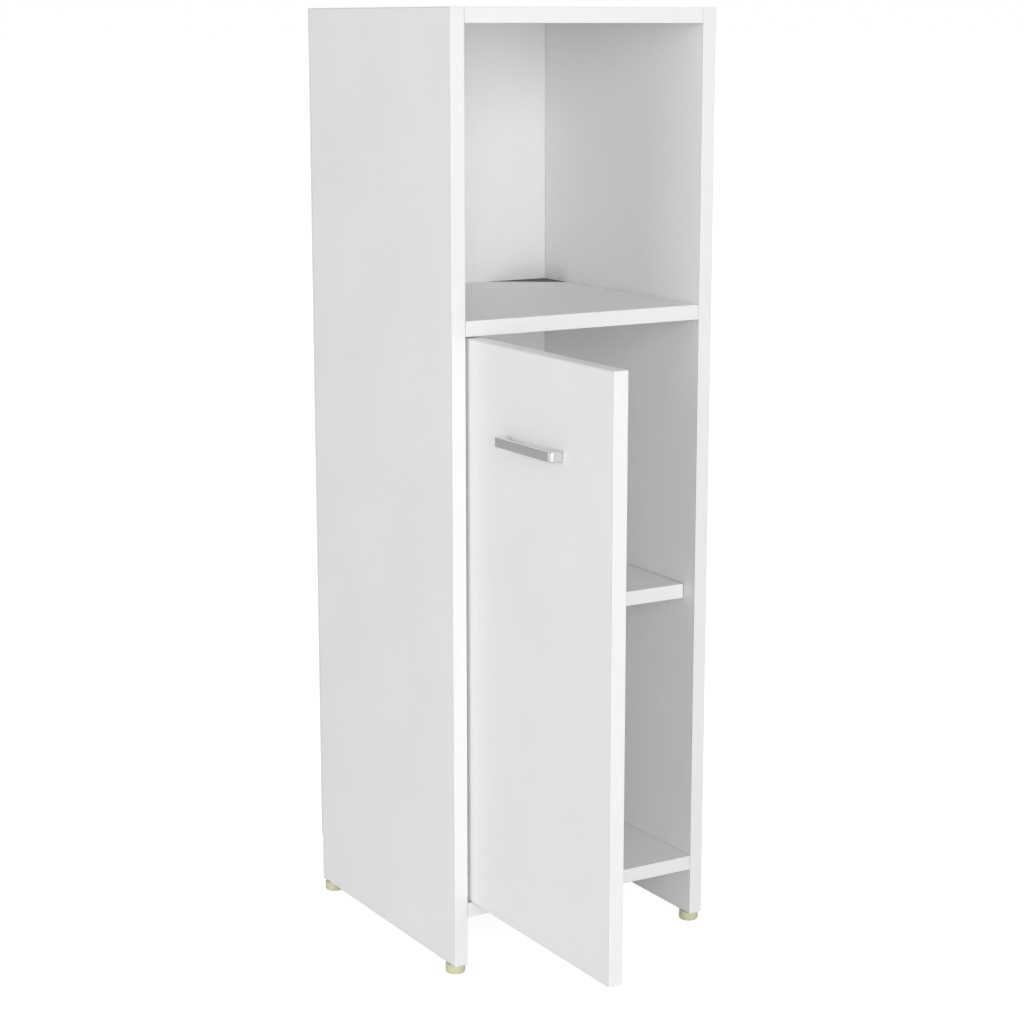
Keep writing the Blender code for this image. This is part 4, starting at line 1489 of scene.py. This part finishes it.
    def build_plate(self) -> None:
        """The cross-shaped mounting plate with softened edges."""
        node = self.node("hinge_plate")
        low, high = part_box(node)
        screws = [middle_of(self.node(f"plate_screw_{number}")) for number in (1, 2)]
        middle = (screws[0] + screws[1]) / 2
        spread = abs(screws[0].z - screws[1].z) / 2 / MM
        wide, tail = self.plate_half, self.tail_half
        end = (high.y - middle.y) / MM
        outline = arc((0.0, -spread), wide, 180, 360, 16)
        outline += [(wide, -tail), *arc((end - 1.5, 1.5 - tail), 1.5, -90, 0)]
        outline += [*arc((end - 1.5, tail - 1.5), 1.5, 0, 90), (wide, tail)]
        outline += arc((0.0, spread), wide, 0, 180, 16)
        plate = slab(outline, 0.0, (high.x - low.x) / MM)
        soften(plate, 0.3, 3, lambda edge: all(v.co.z > MM for v in edge.verts))
        turn = axes((0, 1, 0), (0, 0, 1), Vector((low.x, middle.y, middle.z)))
        plate = placed(plate, turn)
        holes = [(screw, 1.8) for screw in screws]
        holes.append((middle_of(self.node("arm_screw")), 2.2))
        for screw, radius in holes:
            start = Vector((low.x - MM, screw.y, screw.z))
            plate = carve(plate, rod(start, start + Vector((5 * MM, 0, 0)), radius * MM, 24))
        name = f"{self.key}_cross_plate"
        deliver(name, plate, (NICKEL,), Body.CABINET, node, 35)

    def build_screws(self) -> None:
        """The wood screws of cup and plate, and the screw through the arm."""
        for part in ("cup_screw_1", "cup_screw_2", "plate_screw_1", "plate_screw_2"):
            body = Body.DOOR if part.startswith("cup") else Body.CABINET
            self.build_screw(part, Screw(), body)
        low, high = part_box(self.node("arm_screw"))
        length = (high.x - low.x) / MM - 1.8
        self.build_screw("arm_screw", Screw(3.2, 1.8, 1.9, length, 0.0, False), Body.CABINET)

    def build_screw(self, part: str, screw: Screw, body: Body) -> None:
        """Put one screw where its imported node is, with its head to +X.

        Args:
            part: Node name without the hinge's key.
            screw: The screw's sizes.
            body: The body that it rides on.
        """
        node = self.node(part)
        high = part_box(node)[1]
        middle = middle_of(node)
        seat = Vector((high.x - screw.head * MM, middle.y, middle.z))
        shape = placed(screw.build(), axes((0, 1, 0), (0, 0, 1), seat))
        deliver(f"{node}_threaded", shape, (ZINC,), body, node)

    def build(self) -> None:
        """Make every part of the hinge."""
        self.build_cup()
        self.build_pin()
        self.build_spring()
        self.build_arm()
        self.build_plate()
        self.build_screws()


# ------------------------------------------------------------------- studio


@dataclass
class SoftBox:
    """A large square area light that looks at a point.

    Attributes:
        name: Name of the light.
        place: Where it hangs, in metres.
        target: Where it looks, in metres.
        size: Length of its sides, in metres.
        watts: Its power.
    """

    name: str
    place: tuple[float, float, float]
    target: tuple[float, float, float]
    size: float
    watts: float

    def build(self) -> None:
        """Hang the light."""
        data = bpy.data.lights.new(self.name, "AREA")
        data.size = self.size
        data.energy = self.watts
        light = bpy.data.objects.new(self.name, data)
        bpy.context.scene.collection.objects.link(light)
        light.location = self.place
        aim = Vector(self.target) - Vector(self.place)
        light.rotation_euler = aim.to_track_quat("-Z", "Y").to_euler()


@dataclass
class Studio:
    """Pale floor, soft white light and the camera.

    Attributes:
        camera_place: Viewpoint, in metres.
        heading: Angle of the view to the right of +Y, in degrees.
        tilt: Angle of the view below level, in degrees.
        lens: Focal length, in millimetres.
        surround: Strength of the even white surround.
        floor_colour: Colour of the floor.
        floor_size: Length of the floor's sides, in metres.
        floor_glow: Light that the floor gives off, like a lit sweep.
        boxes: The soft boxes.
    """

    camera_place: tuple[float, float, float] = (-1.2354, -1.9632, 0.9333)
    heading: float = 30.70
    tilt: float = 11.65
    lens: float = 83.06
    surround: float = 0.43
    floor_colour: str = "F4F4F4"
    floor_size: float = 400.0
    floor_glow: float = 0.8
    boxes: Sequence[SoftBox] = field(
        default_factory=lambda: (
            SoftBox("front_box", (-1.8, -4.6, 1.4), (0.0, 0.0, 0.45), 2.5, 104.0),
            SoftBox("left_box", (-5.0, -0.5, 1.5), (0.0, 0.0, 0.45), 2.5, 50.0),
            SoftBox("fill_box", (0.4, -5.0, 0.9), (0.0, 0.0, 0.35), 2.0, 22.0),
        )
    )

    def build_camera(self) -> None:
        """Stand the camera and make it the scene's."""
        data = bpy.data.cameras.new("camera")
        data.lens = self.lens
        camera = bpy.data.objects.new("camera", data)
        bpy.context.scene.collection.objects.link(camera)
        camera.location = self.camera_place
        upright = math.radians(90 - self.tilt)
        camera.rotation_euler = (upright, 0, math.radians(-self.heading))
        bpy.context.scene.camera = camera

    def build_floor(self) -> None:
        """Lay the pale floor."""
        shape = bmesh.new()
        bmesh.ops.create_grid(shape, x_segments=1, y_segments=1, size=self.floor_size / 2)
        mesh = bpy.data.meshes.new("floor")
        shape.to_mesh(mesh)
        shape.free()
        paint = bpy.data.materials.new("matt_white_sweep")
        paint.use_nodes = True
        shader = paint.node_tree.nodes["Principled BSDF"]
        shader.inputs["Base Color"].default_value = linear(self.floor_colour)
        shader.inputs["Roughness"].default_value = 0.9
        shader.inputs["Specular IOR Level"].default_value = 0.1
        shader.inputs["Emission Color"].default_value = linear(self.floor_colour)
        seen = add_node(paint.node_tree, "LightPath").outputs["Is Camera Ray"]
        settings = {"Value": seen, "To Min": 0.0, "To Max": self.floor_glow}
        glow = add_node(paint.node_tree, "MapRange", settings).outputs["Result"]
        paint.node_tree.links.new(glow, shader.inputs["Emission Strength"])
        mesh.materials.append(paint)
        floor = bpy.data.objects.new("floor", mesh)
        bpy.context.scene.collection.objects.link(floor)

    def build_surround(self) -> None:
        """Wrap the scene in even light, behind a backdrop that shows pure white."""
        world = bpy.data.worlds.new("white_surround")
        world.use_nodes = True
        tree = world.node_tree
        shade = tree.nodes["Background"]
        shade.inputs["Color"].default_value = linear("FFFFFF")
        seen = add_node(tree, "LightPath").outputs["Is Camera Ray"]
        settings = {"Value": seen, "To Min": self.surround, "To Max": 1.0}
        strength = add_node(tree, "MapRange", settings).outputs["Result"]
        tree.links.new(strength, shade.inputs["Strength"])
        bpy.context.scene.world = world

    def build(self) -> None:
        """Set up the floor, the light and the camera."""
        self.build_camera()
        self.build_floor()
        self.build_surround()
        for box in self.boxes:
            box.build()
        bpy.context.scene.view_settings.view_transform = "Standard"


def main() -> None:
    """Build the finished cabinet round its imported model."""
    logging.basicConfig(level=logging.INFO, format="%(name)s: %(message)s")
    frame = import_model()
    Studio().build()
    Carcass().build()
    Fittings().build(frame["nodes"])
    Handle().build()
    for key in ("upper", "lower"):
        Hinge(key).build()


if __name__ == "__main__":
    main()
